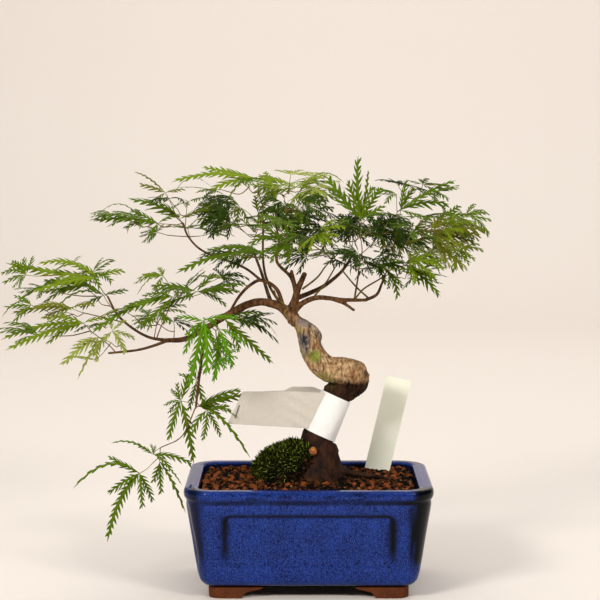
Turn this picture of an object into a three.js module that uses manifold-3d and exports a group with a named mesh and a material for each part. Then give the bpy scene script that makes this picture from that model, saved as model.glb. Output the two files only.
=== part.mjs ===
// A cut-leaf Japanese maple trained as a small bonsai, in a glazed rectangular pot on four
// unglazed bracket feet. Millimetres, +Z up. The tree leans out over one short end of the pot.
//
// The design is drawn with the pot's centre at x = y = 0 and its feet on z = 0. The whole group is
// then moved so that the origin is the bottom centre of the finished tree's own box.
import * as THREE from "three";
import { mergeVertices } from "three/addons/utils/BufferGeometryUtils.js";
import Module from "manifold-3d";

const wasm = await Module();
wasm.setup();

// ---------------------------------------------------------------- driving dimensions
const GAP = 0.3; // air left between solids that touch

const POT = {
  halfWidth: 100, // at the lip, along x
  halfDepth: 75, // at the lip, along y
  cornerRadius: 25,
  top: 90,
  bottom: 10, // underside of the bowl, on top of the feet
  lipWidth: 12,
  lipRounding: 2,
  floor: 18,
};
// How far the wall stands in from the lip, from the rounded foot edge up to the lip.
const WALL_PROFILE = [
  { z: 10, inset: 19 },
  { z: 11.5, inset: 15.5 },
  { z: 15, inset: 12.8 },
  { z: 21, inset: 11 },
  { z: 35, inset: 8.6 },
  { z: 49, inset: 6.6 },
  { z: 62, inset: 4.8 },
  { z: 77, inset: 3 },
  { z: 79, inset: 3.4 },
  { z: 81, inset: 3 },
  { z: 82.5, inset: 0.6 },
  { z: 85, inset: 0 },
  { z: 88.5, inset: 0.3 },
];
const PANEL = { low: 27, high: 70, margin: 24, depth: 1.6, cornerRadius: 5 };
const FOOT = { inset: 19.5, width: 11, frontLength: 27, sideLength: 19, ogee: 18 };

const SOIL = {
  edge: 84, // level against the wall
  crown: 92, // flat top of the mound that the trunk stands on
  crownCentre: -8,
  crownHalfWidth: 44,
  crownHalfDepth: 28,
};

const BAND = {
  low: new THREE.Vector3(8.5, 2, 123.5), // ends of its axis, along the leaning trunk
  high: new THREE.Vector3(23, 5, 155),
  lowRadius: 15.1,
  highRadius: 13.9,
};
const TAIL_THICKNESS = 0.9;
const LABEL = { width: 21, height: 80, thickness: 1, lean: 0.235, foot: new THREE.Vector3(58, 45, 86) };

// ---------------------------------------------------------------- solids
// Joins rings of points, all of one count, into a closed body with a flat fan over each end.
function loft(rings) {
  const count = rings[0].length;
  const points = rings.flat();
  const index = [];
  for (let low = 0; low < points.length - count; low += count) {
    const high = low + count;
    for (let j = 0; j < count; j++) {
      const k = (j + 1) % count;
      index.push(low + j, low + k, high + k, low + j, high + k, high + j);
    }
  }
  const ends = [
    { ring: rings[0], base: 0, facesBack: true },
    { ring: rings.at(-1), base: points.length - count, facesBack: false },
  ];
  for (const { ring, base, facesBack } of ends) {
    const centre = ring.reduce((sum, p) => sum.add(p), new THREE.Vector3()).divideScalar(count);
    const hub = points.push(centre) - 1;
    for (let j = 0; j < count; j++) {
      const k = (j + 1) % count;
      index.push(hub, ...(facesBack ? [base + k, base + j] : [base + j, base + k]));
    }
  }
  const geometry = new THREE.BufferGeometry().setFromPoints(points);
  geometry.setIndex(index);
  return geometry;
}

// A geometry as a solid that can be joined and cut, facing out whichever way it was wound.
function solid(geometry) {
  const bare = geometry.clone();
  bare.deleteAttribute("normal");
  bare.deleteAttribute("uv");
  const merged = mergeVertices(bare, 1e-4);
  const triVerts = Uint32Array.from(merged.index.array);
  const vertProperties = Float32Array.from(merged.attributes.position.array);
  const made = new wasm.Manifold(new wasm.Mesh({ numProp: 3, vertProperties, triVerts }));
  if (made.volume() > 0) return made;
  for (let t = 0; t < triVerts.length; t += 3) {
    [triVerts[t + 1], triVerts[t + 2]] = [triVerts[t + 2], triVerts[t + 1]];
  }
  return new wasm.Manifold(new wasm.Mesh({ numProp: 3, vertProperties, triVerts }));
}

function geometryOf(body) {
  const mesh = body.getMesh();
  const geometry = new THREE.BufferGeometry();
  geometry.setAttribute("position", new THREE.BufferAttribute(Float32Array.from(mesh.vertProperties), 3));
  geometry.setIndex(Array.from(mesh.triVerts));
  return geometry;
}

// The largest connected piece, without the slivers that a cut leaves.
function largest(body) {
  return body.decompose().reduce((a, b) => (b.volume() > a.volume() ? b : a));
}

function boxOf(body) {
  const { min, max } = body.boundingBox();
  return new THREE.Box3(new THREE.Vector3(...min), new THREE.Vector3(...max));
}

// ---------------------------------------------------------------- pot
// A rectangle with round corners, as points at height z.
function roundedRing(halfX, halfY, radius, z, stepsPerCorner = 4) {
  const ring = [];
  const corners = [[1, 1, 0], [-1, 1, 1], [-1, -1, 2], [1, -1, 3]];
  for (const [sx, sy, quarter] of corners) {
    for (let i = 0; i <= stepsPerCorner; i++) {
      const angle = (quarter + i / stepsPerCorner) * (Math.PI / 2);
      ring.push(
        new THREE.Vector3(
          sx * (halfX - radius) + radius * Math.cos(angle),
          sy * (halfY - radius) + radius * Math.sin(angle),
          z,
        ),
      );
    }
  }
  return ring;
}

function potRing(z, inset) {
  return roundedRing(POT.halfWidth - inset, POT.halfDepth - inset, Math.max(POT.cornerRadius - inset, 8), z);
}

// The bowl's outside as a closed block, optionally swollen.
function bowlBlock(grow = 0) {
  const wall = WALL_PROFILE.map(({ z, inset }) => potRing(z, inset - grow));
  wall.push(potRing(POT.top + grow, POT.lipRounding - grow));
  return solid(loft(wall));
}

// The inside of the bowl, which widens a little upwards.
function cavityRing(z, shrink = 0) {
  const taper = 10 * (1 - (z - POT.floor) / (POT.top - POT.floor));
  const inset = POT.lipWidth + taper + shrink;
  return roundedRing(POT.halfWidth - inset, POT.halfDepth - inset, Math.max(17 - taper, 8), z);
}

// The sunk panel of one wall: a thin plate laid along the sloping wall, to be cut out of it.
function panelCutter(halfLength, standOff, turn) {
  const lowInset = insetAt(PANEL.low);
  const highInset = insetAt(PANEL.high);
  const height = PANEL.high - PANEL.low;
  const slope = Math.atan2(lowInset - highInset, height);
  const { cornerRadius: r, depth } = PANEL;
  const x = halfLength;
  const y = height / 2 / Math.cos(slope);
  const outline = new THREE.Shape();
  outline.moveTo(-x + r, -y);
  outline.lineTo(x - r, -y);
  outline.absarc(x - r, -y + r, r, -Math.PI / 2, 0);
  outline.lineTo(x, y - r);
  outline.absarc(x - r, y - r, r, 0, Math.PI / 2);
  outline.lineTo(-x + r, y);
  outline.absarc(-x + r, y - r, r, Math.PI / 2, Math.PI);
  outline.lineTo(-x, -y + r);
  outline.absarc(-x + r, -y + r, r, Math.PI, Math.PI * 1.5);
  const plate = new THREE.ExtrudeGeometry(outline, { depth: 8, bevelEnabled: false, curveSegments: 3 });
  plate.translate(0, 0, -depth);
  plate.rotateX(Math.PI / 2 + slope); // the plate's thickness now runs out along -y
  plate.translate(0, -(standOff - (lowInset + highInset) / 2), (PANEL.low + PANEL.high) / 2);
  plate.rotateZ(turn);
  return solid(plate);
}

function insetAt(z) {
  const above = WALL_PROFILE.findIndex((p) => p.z >= z);
  const [a, b] = [WALL_PROFILE[above - 1], WALL_PROFILE[above]];
  return THREE.MathUtils.mapLinear(z, a.z, b.z, a.inset, b.inset);
}

function potBowl() {
  let bowl = bowlBlock();
  const cavity = [POT.floor, POT.top - 30, POT.top + 5].map((z) => cavityRing(z));
  bowl = bowl.subtract(solid(loft(cavity)));
  const walls = [
    [POT.halfWidth - insetAt(50) - PANEL.margin, POT.halfDepth, 0],
    [POT.halfDepth - insetAt(50) - PANEL.margin, POT.halfWidth, Math.PI / 2],
  ];
  for (const [halfLength, standOff, turn] of walls) {
    bowl = bowl.subtract(panelCutter(halfLength, standOff, turn));
    bowl = bowl.subtract(panelCutter(halfLength, standOff, turn + Math.PI));
  }
  return bowl;
}

// The arch between two feet, as seen from one side: wide at the ground, with ogee shoulders.
function footArch(halfSpan, depth) {
  const rise = POT.bottom;
  const shoulder = halfSpan - FOOT.ogee;
  const arch = new THREE.Shape();
  arch.moveTo(-halfSpan, -1);
  arch.lineTo(halfSpan, -1);
  arch.quadraticCurveTo(halfSpan, rise * 0.5, halfSpan - FOOT.ogee / 2, rise * 0.6);
  arch.quadraticCurveTo(shoulder, rise * 0.7, shoulder, rise + 1);
  arch.lineTo(-shoulder, rise + 1);
  arch.quadraticCurveTo(-shoulder, rise * 0.7, -halfSpan + FOOT.ogee / 2, rise * 0.6);
  arch.quadraticCurveTo(-halfSpan, rise * 0.5, -halfSpan, -1);
  const bar = new THREE.ExtrudeGeometry(arch, { depth, bevelEnabled: false, curveSegments: 3 });
  bar.translate(0, 0, -depth / 2);
  bar.rotateX(Math.PI / 2);
  return bar;
}

// A low wall round the underside of the bowl, opened by four arches, leaves the four corner feet.
function potFeet() {
  const { inset, width } = FOOT;
  const halfX = POT.halfWidth - inset;
  const halfY = POT.halfDepth - inset;
  const top = POT.bottom - GAP;
  const outer = [roundedRing(halfX, halfY, 10, 0), roundedRing(halfX, halfY, 10, top)];
  const inner = [-1, top + 1].map((z) => roundedRing(halfX - width, halfY - width, 5, z));
  let feet = solid(loft(outer)).subtract(solid(loft(inner)));
  feet = feet.subtract(solid(footArch(halfX - FOOT.frontLength, POT.halfDepth * 3)));
  const sideArch = footArch(halfY - FOOT.sideLength, POT.halfWidth * 3);
  sideArch.rotateZ(Math.PI / 2);
  return feet.subtract(solid(sideArch)).decompose();
}

function soilBed(grow = 0) {
  const { edge, crown, crownCentre, crownHalfWidth, crownHalfDepth } = SOIL;
  const shifted = (ring, dx) => ring.map((p) => p.clone().setX(p.x + dx));
  return solid(
    loft([
      cavityRing(POT.floor + GAP, GAP),
      cavityRing(POT.top - 30, GAP),
      cavityRing(edge + grow, GAP),
      roundedRing(POT.halfWidth - 22, POT.halfDepth - 20, 14, edge + 1.5 + grow),
      shifted(roundedRing(crownHalfWidth + 18, crownHalfDepth + 14, 20, crown - 3 + grow), crownCentre / 2),
      shifted(roundedRing(crownHalfWidth, crownHalfDepth, 18, crown + grow), crownCentre),
    ]),
  );
}

// ---------------------------------------------------------------- limbs
// A tapering limb along a smooth route. Each station is [x, y, z, radius].
function limbSolid({ route, sides = 6, stepsPerSpan = 2, lobes = 0 }, grow = 0) {
  const curve = new THREE.CatmullRomCurve3(route.map(([x, y, z]) => new THREE.Vector3(x, y, z)));
  const spans = route.length - 1;
  const steps = spans * stepsPerSpan;
  const frames = curve.computeFrenetFrames(steps, false);
  const rings = [];
  for (let i = 0; i <= steps; i++) {
    const t = i / steps;
    const centre = curve.getPointAt(t);
    const along = curve.getUtoTmapping(t) * spans;
    const span = Math.min(Math.floor(along), spans - 1);
    const radius = THREE.MathUtils.lerp(route[span][3], route[span + 1][3], along - span) + grow;
    if (i === 0) centre.addScaledVector(frames.tangents[0], -grow);
    if (i === steps) centre.addScaledVector(frames.tangents[steps], grow);
    const ring = [];
    for (let j = 0; j < sides; j++) {
      const angle = (j / sides) * Math.PI * 2;
      const flare = 1 + lobes * (1 - t) ** 4 * Math.cos(3 * angle + 0.6);
      ring.push(
        centre
          .clone()
          .addScaledVector(frames.normals[i], Math.cos(angle) * radius * flare)
          .addScaledVector(frames.binormals[i], Math.sin(angle) * radius * flare),
      );
    }
    rings.push(ring);
  }
  return solid(loft(rings));
}

// The trunk leans right out of its root flare, doubles back at a knee and narrows to the fork. It is
// two lofts joined at the knee, cut flat where it stands on the soil.
const TRUNK_LOWER = {
  sides: 14,
  stepsPerSpan: 1,
  lobes: 0.18,
  route: [
    [5, 0, 84, 27],
    [6, 0, 92, 22],
    [6.5, 1, 106, 17],
    [8.5, 2, 123, 13.6],
    [15.5, 4, 139, 13],
    [23, 5, 155, 12.3],
    [33, 5, 164.5, 12.2],
    [38.5, 3, 170, 12.4],
    [43, 1, 175, 7],
  ],
};
const TRUNK_UPPER = {
  sides: 14,
  stepsPerSpan: 1,
  route: [
    [47, 2, 168, 6],
    [39, 1, 172, 12.3],
    [27, -3, 177, 11.3],
    [16, -4, 178.5, 10.4],
    [8, -4, 185, 9.8],
    [2.5, -3, 194.5, 9.3],
    [0, -1, 204, 9],
    [-4, 0, 212, 7.2],
    [-9, 0, 217, 4.8],
    [-13, 0, 222.5, 4.2],
  ],
};

function trunkSolid(grow = 0) {
  const whole = limbSolid(TRUNK_LOWER, grow).add(limbSolid(TRUNK_UPPER, grow));
  const below = new THREE.BoxGeometry(120, 120, 40);
  below.translate(0, 0, SOIL.crown + GAP - grow - 20);
  return largest(whole.subtract(solid(below)));
}

// Every other limb, from the ones that carry the most. Each starts inside what it grows from and is
// trimmed there.
const LIMBS = {
  leader: [[-13, 0, 219, 4], [-14, 0, 227, 4], [-11, -1, 235, 3.5], [-9, -2, 243, 3], [-3, -3, 257, 2.3]],
  pruned_stub: [[-10, -1, 240, 2.4], [-12, 1, 249, 2.1], [-14, 2, 259, 1.4]],
  left_bough: [
    [-12, 0, 220, 4.4], [-21, 0, 228, 3.8], [-31, 1, 232, 3.3], [-41, 2, 233, 3.1], [-54, 3, 229, 3],
    [-70, 3, 220, 2.7], [-85, 1, 211, 2.4], [-101, -2, 203, 2.1], [-117, -4, 202, 1.8],
  ],
  left_low_twig: [[-115, -4, 202, 1.4], [-126, -6, 198, 1.2], [-140, -8, 194.5, 1], [-163, -8, 192, 0.9]],
  left_high_twig: [[-115, -4, 202, 1.5], [-130, 0, 204, 1.2], [-144, 4, 211, 1.1], [-157, 8, 222, 1], [-165, 9, 237, 0.8]],
  hanging_bough: [[-83, 0, 212, 1.5], [-86, -6, 196, 1.4], [-88, -8, 181, 1.2], [-90, -8, 166, 1.1], [-92, -7, 148, 0.9]],
  dark_crown_bough: [
    [-11, 0, 244, 2.1], [-15, 2, 254, 1.9], [-26, 6, 266, 1.7], [-24, 9, 281, 1.5], [-27, 12, 296, 1.2],
  ],
  straight_crown_bough: [[-21, 1, 229, 1.3], [-32, 5, 246, 1.1], [-37, 6, 265, 1], [-37, 4, 300, 0.8]],
  arching_bough: [
    [-20, 0, 227, 1.8], [-26, -4, 244, 1.6], [-38, -7, 251.5, 1.4], [-47, -8, 248, 1.3], [-56, -8, 239, 1.2],
    [-64, -6, 226, 1],
  ],
  upper_left_bough: [[-38, -7, 251, 1.1], [-54, -10, 263, 1], [-84, -8, 274.5, 0.9], [-97, -6, 286, 0.8], [-102, -5, 298, 0.8]],
  right_bough: [[-11, 0, 226, 2.8], [-4, -3, 233, 2.5], [8, -8, 237.5, 2.2], [28, -12, 236, 1.9], [47, -14, 236, 1.5]],
  right_bough_tip: [[46, -14, 236, 1.4], [55, -15, 240.5, 1.2], [59, -15, 249, 1], [62, -15, 256, 0.9]],
  right_stub: [[20, -10, 236, 1.6], [29, -13, 233, 1.5], [37, -14, 227.5, 1.3]],
  right_rear_bough: [[-10, 1, 236, 2.2], [2, 11, 240, 1.9], [14, 24, 245, 1.6], [28, 44, 255, 1.3], [38, 62, 268, 1]],
  left_rear_bough: [[-30, 2, 231, 1.8], [-34, 20, 240, 1.5], [-40, 42, 256, 1.2], [-48, 62, 274, 0.9]],
};

// ---------------------------------------------------------------- foliage
// Each mass is one uneven pad of leaves: its centre, its size, and how far its rim hangs.
const FOLIAGE = {
  left_heart: { centre: [-81, -32, 199], size: [45, 34, 68], droop: 0.1 },
  left_crown_flat: { centre: [-96, 6, 246], size: [89, 80, 24], droop: 0.5 },
  left_far_upper: { centre: [-200, -4, 257], size: [103, 52, 24], droop: 0.4 },
  left_far_mid: { centre: [-190, 24, 238], size: [101, 50, 18], droop: 0.4 },
  left_far_low: { centre: [-206, -30, 228], size: [72, 48, 17], droop: 0.4 },
  left_far_lower: { centre: [-210, 12, 207], size: [88, 52, 25], droop: 0.5 },
  left_inner_long: { centre: [-139, -18, 228], size: [75, 34, 34], droop: 0.2 },
  left_droop: { centre: [-175, 0, 189], size: [58, 32, 44], droop: 0.4 },
  left_centre: { centre: [-117, 20, 210], size: [54, 46, 46], droop: 0.2 },
  left_inner_right: { centre: [-55, 6, 205], size: [58, 50, 50], droop: 0.5 },
  hanging_mid: { centre: [-84, -8, 136], size: [76, 26, 80], droop: 0 },
  hanging_right: { centre: [-70, 16, 151], size: [56, 30, 25], droop: 0.3 },
  hanging_low: { centre: [-142, -12, 76], size: [100, 30, 88], droop: 0 },
  upper_left_tip: { centre: [-145, -8, 297], size: [60, 48, 31], droop: 0.2 },
  upper_left_shoot: { centre: [-127, 12, 328], size: [39, 24, 30], droop: 0 },
  upper_left_body: { centre: [-96, 2, 311], size: [67, 72, 28], droop: 0.2 },
  upper_left_under: { centre: [-102, 18, 286], size: [69, 52, 17], droop: 0.3 },
  top_arc: { centre: [-75, -16, 326], size: [73, 26, 39], droop: 0.5 },
  centre_left_dark: { centre: [-61, 22, 297], size: [50, 52, 29], droop: 0.2 },
  centre_low_left: { centre: [-63, -12, 272], size: [86, 60, 26], droop: 0.5 },
  top_centre: { centre: [-6, 14, 326], size: [74, 56, 28], droop: 0.4 },
  centre_body: { centre: [-12, -22, 308], size: [58, 60, 31], droop: 0.3 },
  centre_low: { centre: [6, 20, 273], size: [61, 56, 38], droop: 0.2 },
  right_spire: { centre: [38, -26, 326.5], size: [53, 26, 53], droop: 0 },
  right_top_arm: { centre: [86, 8, 321], size: [68, 40, 29], droop: 0.1 },
  right_far: { centre: [106, -12, 296], size: [77, 66, 33], droop: 0.4 },
  right_drop_far: { centre: [110, 22, 270], size: [48, 46, 28], droop: 0.6 },
  right_low_far: { centre: [83, -22, 256], size: [53, 50, 36], droop: 0.5 },
  right_body_low: { centre: [44, -20, 265], size: [62, 58, 30], droop: 0.3 },
  right_body: { centre: [51, 14, 290], size: [66, 66, 30], droop: 0.2 },
  back_left: { centre: [-51, 70, 298], size: [84, 62, 36], droop: 0.5 },
  back_centre: { centre: [18, 70, 288], size: [75, 62, 38], droop: 0.5 },
  back_right: { centre: [80, 68, 280], size: [66, 62, 38], droop: 0.5 },
  front_centre: { centre: [-8, -72, 290], size: [80, 58, 38], droop: 0.5 },
};

// A pad is a ball whose outline is pulled into leafy points, hung down towards its rim and fitted to
// its size. A pad that is thinnest from front to back has its points in the upright plane. The seed
// turns and varies the points.
function foliageSolid({ centre, size, droop }, seed, grow = 0) {
  const upright = size[1] < size[2];
  const ball = new THREE.SphereGeometry(1, 10, 6);
  if (!upright) ball.rotateX(Math.PI / 2);
  const place = (share) => {
    const points = [];
    for (let i = 0; i < ball.attributes.position.count; i++) {
      const p = new THREE.Vector3().fromBufferAttribute(ball.attributes.position, i);
      const across = upright ? p.y : p.z;
      const round = upright ? Math.atan2(p.z, p.x) : Math.atan2(p.y, p.x);
      const flat = 1 - across * across;
      const leafy = 0.17 * Math.sin(5 * round + seed * 1.7) + 0.12 * Math.sin(3 * round - seed * 2.3);
      const bumps = 0.06 * Math.sin(7 * across + 4 * round + seed);
      p.multiplyScalar(1 + flat * (leafy + bumps));
      p.multiply(share);
      p.z -= droop * (p.x * p.x + p.y * p.y);
      points.push(p);
    }
    return points;
  };
  const half = new THREE.Vector3(...size).divideScalar(2);
  const bare = new THREE.Box3().setFromPoints(place(new THREE.Vector3(1, 1, 1)));
  const middle = bare.getCenter(new THREE.Vector3());
  const scale = new THREE.Vector3(...size).divide(bare.getSize(new THREE.Vector3()));
  const share = new THREE.Vector3(1, 1, 1).add(new THREE.Vector3(grow, grow, grow * 1.5).divide(half));
  const fitted = place(share).map((p) => p.sub(middle).multiply(scale).add(new THREE.Vector3(...centre)));
  ball.attributes.position.copyArray(fitted.flatMap((p) => p.toArray()));
  return solid(ball);
}

// ---------------------------------------------------------------- paper and label
// A strip of paper wound once round the leaning trunk.
function paperSleeve(grow = 0) {
  const { low, high, lowRadius, highRadius } = BAND;
  const route = [[...low, lowRadius], [...high, highRadius]];
  return limbSolid({ route, sides: 18, stepsPerSpan: 1 }, grow);
}

// The two stapled ends of that strip, standing off to the left of the trunk.
function paperTail(grow = 0) {
  const thickness = TAIL_THICKNESS + grow;
  const rings = [];
  const stations = [
    { x: -1, y: -9, low: 130, high: 160.5, lean: 8 },
    { x: -12, y: -7, low: 130.5, high: 162, lean: 6 },
    { x: -28, y: -3, low: 131.5, high: 161, lean: 8 },
    { x: -44, y: 1, low: 132, high: 159, lean: 11 },
    { x: -57, y: 3, low: 132.5, high: 159, lean: 12 },
  ];
  for (const { x, y, low, high, lean } of stations) {
    rings.push([
      new THREE.Vector3(x - lean / 2, y - grow, low - grow),
      new THREE.Vector3(x + lean / 2, y - grow, high + grow),
      new THREE.Vector3(x + lean / 2, y + thickness, high + grow),
      new THREE.Vector3(x - lean / 2, y + thickness, low - grow),
    ]);
  }
  rings.at(-1).forEach((p) => p.setX(p.x - grow));
  return solid(loft(rings));
}

// A plastic name tag, blank, pushed into the soil at the back and leaning right.
function plantLabel(grow = 0) {
  const { width, height, thickness, lean, foot } = LABEL;
  const label = new THREE.BoxGeometry(width + 2 * grow, thickness + 2 * grow, height + 2 * grow);
  label.translate(0, 0, height / 2);
  label.rotateX(-0.06);
  label.rotateY(lean);
  label.translate(...foot);
  return solid(label);
}

// A low cushion of moss against the left of the root flare.
function mossCushion() {
  const ball = new THREE.SphereGeometry(1, 14, 8);
  ball.rotateX(Math.PI / 2);
  ball.scale(29, 23, 28);
  ball.translate(-23, -6, 91);
  const lifted = new THREE.BoxGeometry(120, 120, 60);
  lifted.translate(0, 0, SOIL.crown + GAP - 30);
  return solid(ball).subtract(solid(lifted));
}

// ---------------------------------------------------------------- finishes
const finish = (hex, roughness, metalness = 0) => new THREE.MeshStandardMaterial({ color: hex, roughness, metalness });
const GLAZE = finish(0x1c3a9c, 0.12);
const UNGLAZED = finish(0x8a4a30, 0.8);
const GRIT = finish(0x5a3420, 0.95);
const MOSS = finish(0x33511a, 0.95);
const BARK = finish(0x8a6a48, 0.85);
const YOUNG_BARK = finish(0x5c3a2c, 0.7);
const LEAF = finish(0x4d7d26, 0.55);
const PAPER = finish(0xf4f0e8, 0.9);
const TAG = finish(0xd6d9b4, 0.5);

// ---------------------------------------------------------------- assembly
const tree = new THREE.Group();
const placed = []; // [{ grown solid, its box }] of everything that later pieces are cut round

function addNode(name, body, material) {
  const mesh = new THREE.Mesh(geometryOf(body), material);
  mesh.name = name;
  tree.add(mesh);
}

function clearOf(body) {
  const box = boxOf(body);
  let cut = body;
  for (const other of placed) {
    if (other.box.intersectsBox(box)) cut = cut.subtract(other.grown);
  }
  return largest(cut);
}

function keep(grown) {
  placed.push({ grown, box: boxOf(grown) });
}

addNode("pot_bowl", potBowl(), GLAZE);
potFeet().forEach((foot) => {
  const centre = boxOf(foot).getCenter(new THREE.Vector3());
  const name = `foot_${centre.y < 0 ? "front" : "back"}_${centre.x < 0 ? "left" : "right"}`;
  addNode(name, foot, UNGLAZED);
});

addNode("soil", soilBed(), GRIT);
const labelBody = plantLabel();
addNode("plant_label", largest(labelBody.subtract(soilBed(GAP))), TAG);

addNode("trunk", trunkSolid(), BARK);
keep(trunkSolid(GAP));
addNode("paper_band", clearOf(paperSleeve()), PAPER);
keep(paperSleeve(GAP));
addNode("paper_tail", clearOf(paperTail()), PAPER);
keep(paperTail(GAP));
addNode("moss", clearOf(mossCushion()), MOSS);

for (const [name, route] of Object.entries(LIMBS)) {
  addNode(name, clearOf(limbSolid({ route })), YOUNG_BARK);
  keep(limbSolid({ route }, GAP));
}
keep(plantLabel(GAP));
keep(bowlBlock(GAP));
Object.entries(FOLIAGE).forEach(([name, pad], seed) => {
  addNode(`foliage_${name}`, clearOf(foliageSolid(pad, seed)), LEAF);
  keep(foliageSolid(pad, seed, GAP));
});

const whole = new THREE.Box3().setFromObject(tree);
const centre = whole.getCenter(new THREE.Vector3());
tree.position.set(-centre.x, -centre.y, 0);

export default tree;
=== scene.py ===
"""A small cut-leaf Japanese maple, grown as a bonsai in a cobalt-glazed pot on four clay feet.

The pot's centre is the home of every size below: at (x, y, z) millimetres from it, with z up from
the surface that the feet stand on.
"""
import math

import bpy
import numpy as np
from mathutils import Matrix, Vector, kdtree, noise


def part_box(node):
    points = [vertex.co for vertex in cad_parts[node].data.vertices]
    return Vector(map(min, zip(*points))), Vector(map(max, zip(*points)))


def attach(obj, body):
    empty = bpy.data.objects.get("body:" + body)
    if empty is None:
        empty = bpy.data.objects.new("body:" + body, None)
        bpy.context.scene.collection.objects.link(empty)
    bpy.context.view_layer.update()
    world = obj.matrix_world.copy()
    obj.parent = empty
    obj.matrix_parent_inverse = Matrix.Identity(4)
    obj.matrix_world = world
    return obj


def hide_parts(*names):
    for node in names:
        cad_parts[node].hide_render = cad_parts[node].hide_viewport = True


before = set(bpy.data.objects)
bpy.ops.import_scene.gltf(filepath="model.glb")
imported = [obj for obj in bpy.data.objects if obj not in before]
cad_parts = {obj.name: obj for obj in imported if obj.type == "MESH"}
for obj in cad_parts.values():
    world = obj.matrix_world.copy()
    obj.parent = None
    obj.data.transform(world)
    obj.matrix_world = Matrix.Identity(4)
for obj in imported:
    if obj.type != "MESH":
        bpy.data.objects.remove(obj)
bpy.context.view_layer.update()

MM = 0.001
POT_LOW, POT_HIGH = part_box("pot_bowl")
HOME = np.array([(POT_LOW.x + POT_HIGH.x) / 2, (POT_LOW.y + POT_HIGH.y) / 2, 0.0])
UP = np.array([0.0, 0.0, 1.0])


def box_mm(node):
    """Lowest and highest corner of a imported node, in millimetres from home."""
    low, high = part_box(node)
    return (np.array(low) - HOME) / MM, (np.array(high) - HOME) / MM


def smoothstep(low, high, value):
    t = np.clip((value - low) / (high - low), 0.0, 1.0)
    return t * t * (3 - 2 * t)


def unit(v):
    v = np.asarray(v, float)
    return v / max(np.linalg.norm(v), 1e-9)


# ---------------------------------------------------------------- meshes
def triangle_piece(name, points, triangles, materials, material_index=None, smooth=False):
    """A mesh object from arrays: points in millimetres from home, triangles, and one finish per triangle."""
    mesh = bpy.data.meshes.new(name)
    count = len(triangles)
    mesh.vertices.add(len(points))
    mesh.vertices.foreach_set("co", (points * MM + HOME).astype(np.float32).ravel())
    mesh.loops.add(3 * count)
    mesh.loops.foreach_set("vertex_index", np.asarray(triangles, np.int32).ravel())
    mesh.polygons.add(count)
    mesh.polygons.foreach_set("loop_start", np.arange(0, 3 * count, 3, dtype=np.int32))
    for material in materials:
        mesh.materials.append(material)
    if material_index is not None:
        mesh.polygons.foreach_set("material_index", np.asarray(material_index, np.int32))
    mesh.update(calc_edges=True)
    mesh.validate()
    mesh.polygons.foreach_set("use_smooth", np.full(count, smooth))
    piece = bpy.data.objects.new(name, mesh)
    bpy.context.scene.collection.objects.link(piece)
    return piece


def finish_piece(piece, slot, *replaced):
    """Hands a finished piece to the frame: it rides with the pot and tree, and stands for these nodes."""
    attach(piece, "root")
    if replaced:
        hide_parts(*replaced)
    return piece


def point_attribute(mesh, name, values):
    attribute = mesh.attributes.new(name, "FLOAT", "POINT")
    attribute.data.foreach_set("value", np.asarray(values, np.float32))


def applied(piece):
    """The piece with its modifiers made into plain mesh."""
    depsgraph = bpy.context.evaluated_depsgraph_get()
    mesh = bpy.data.meshes.new_from_object(piece.evaluated_get(depsgraph))
    old = piece.data
    piece.modifiers.clear()
    piece.data = mesh
    bpy.data.meshes.remove(old)
    return piece


def mesh_points(mesh):
    co = np.zeros(len(mesh.vertices) * 3, np.float32)
    mesh.vertices.foreach_get("co", co)
    return (co.reshape(-1, 3) - HOME) / MM


def set_mesh_points(mesh, points):
    mesh.vertices.foreach_set("co", (points * MM + HOME).astype(np.float32).ravel())
    mesh.update()


def point_normals(mesh):
    normals = np.zeros(len(mesh.vertices) * 3, np.float32)
    mesh.vertex_normals.foreach_get("vector", normals)
    return normals.reshape(-1, 3)


def noise_at(points, scale, seed=0.0):
    """Smooth noise from -1 to 1 at each point; scale is cycles per millimetre, one for each axis."""
    scaled = points * np.asarray(scale) + seed
    return np.array([noise.noise(Vector(p)) for p in scaled])


def grid_triangles(rows, columns, closed=False):
    """Triangles of a grid of rows by columns points; a closed grid's last column joins its first."""
    spans = columns if closed else columns - 1
    i, j = np.meshgrid(np.arange(rows - 1), np.arange(spans), indexing="ij")
    a = i * columns + j
    b = i * columns + (j + 1) % columns
    c, d = b + columns, a + columns
    return np.concatenate([np.stack([a, b, c], -1).reshape(-1, 3), np.stack([a, c, d], -1).reshape(-1, 3)])


def close_ends(points, triangles, columns, hubs, inward=False):
    """A tube of rings, each of so many columns, closed by a fan to a hub at each end."""
    ring = np.arange(columns)
    following = np.roll(ring, -1)
    base, last = len(points), len(points) - columns
    caps = [
        np.stack([np.full(columns, base), following, ring], -1),
        np.stack([np.full(columns, base + 1), ring + last, following + last], -1),
    ]
    if inward:
        caps = [cap[:, [0, 2, 1]] for cap in caps]
    return np.concatenate([points, hubs]), np.concatenate([triangles, *caps])


def shade_smooth(mesh):
    mesh.polygons.foreach_set("use_smooth", np.ones(len(mesh.polygons), bool))


# ---------------------------------------------------------------- finishes
def new_material(name, **principled):
    material = bpy.data.materials.new(name)
    material.use_nodes = True
    shader = material.node_tree.nodes["Principled BSDF"]
    for socket, value in principled.items():
        shader.inputs[socket.replace("_", " ")].default_value = value
    return material, material.node_tree, shader


def colour(r, g, b):
    """A finish's colour from its 0 to 255 shades, as the shader's linear light."""
    linear = [((c / 255 + 0.055) / 1.055) ** 2.4 if c > 10 else c / 255 / 12.92 for c in (r, g, b)]
    return (*linear, 1.0)


def add_node(tree, kind, **settings):
    made = tree.nodes.new(kind)
    for key, value in settings.items():
        if hasattr(made, key):
            setattr(made, key, value)
        else:
            made.inputs[key.replace("_", " ")].default_value = value
    return made


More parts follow.
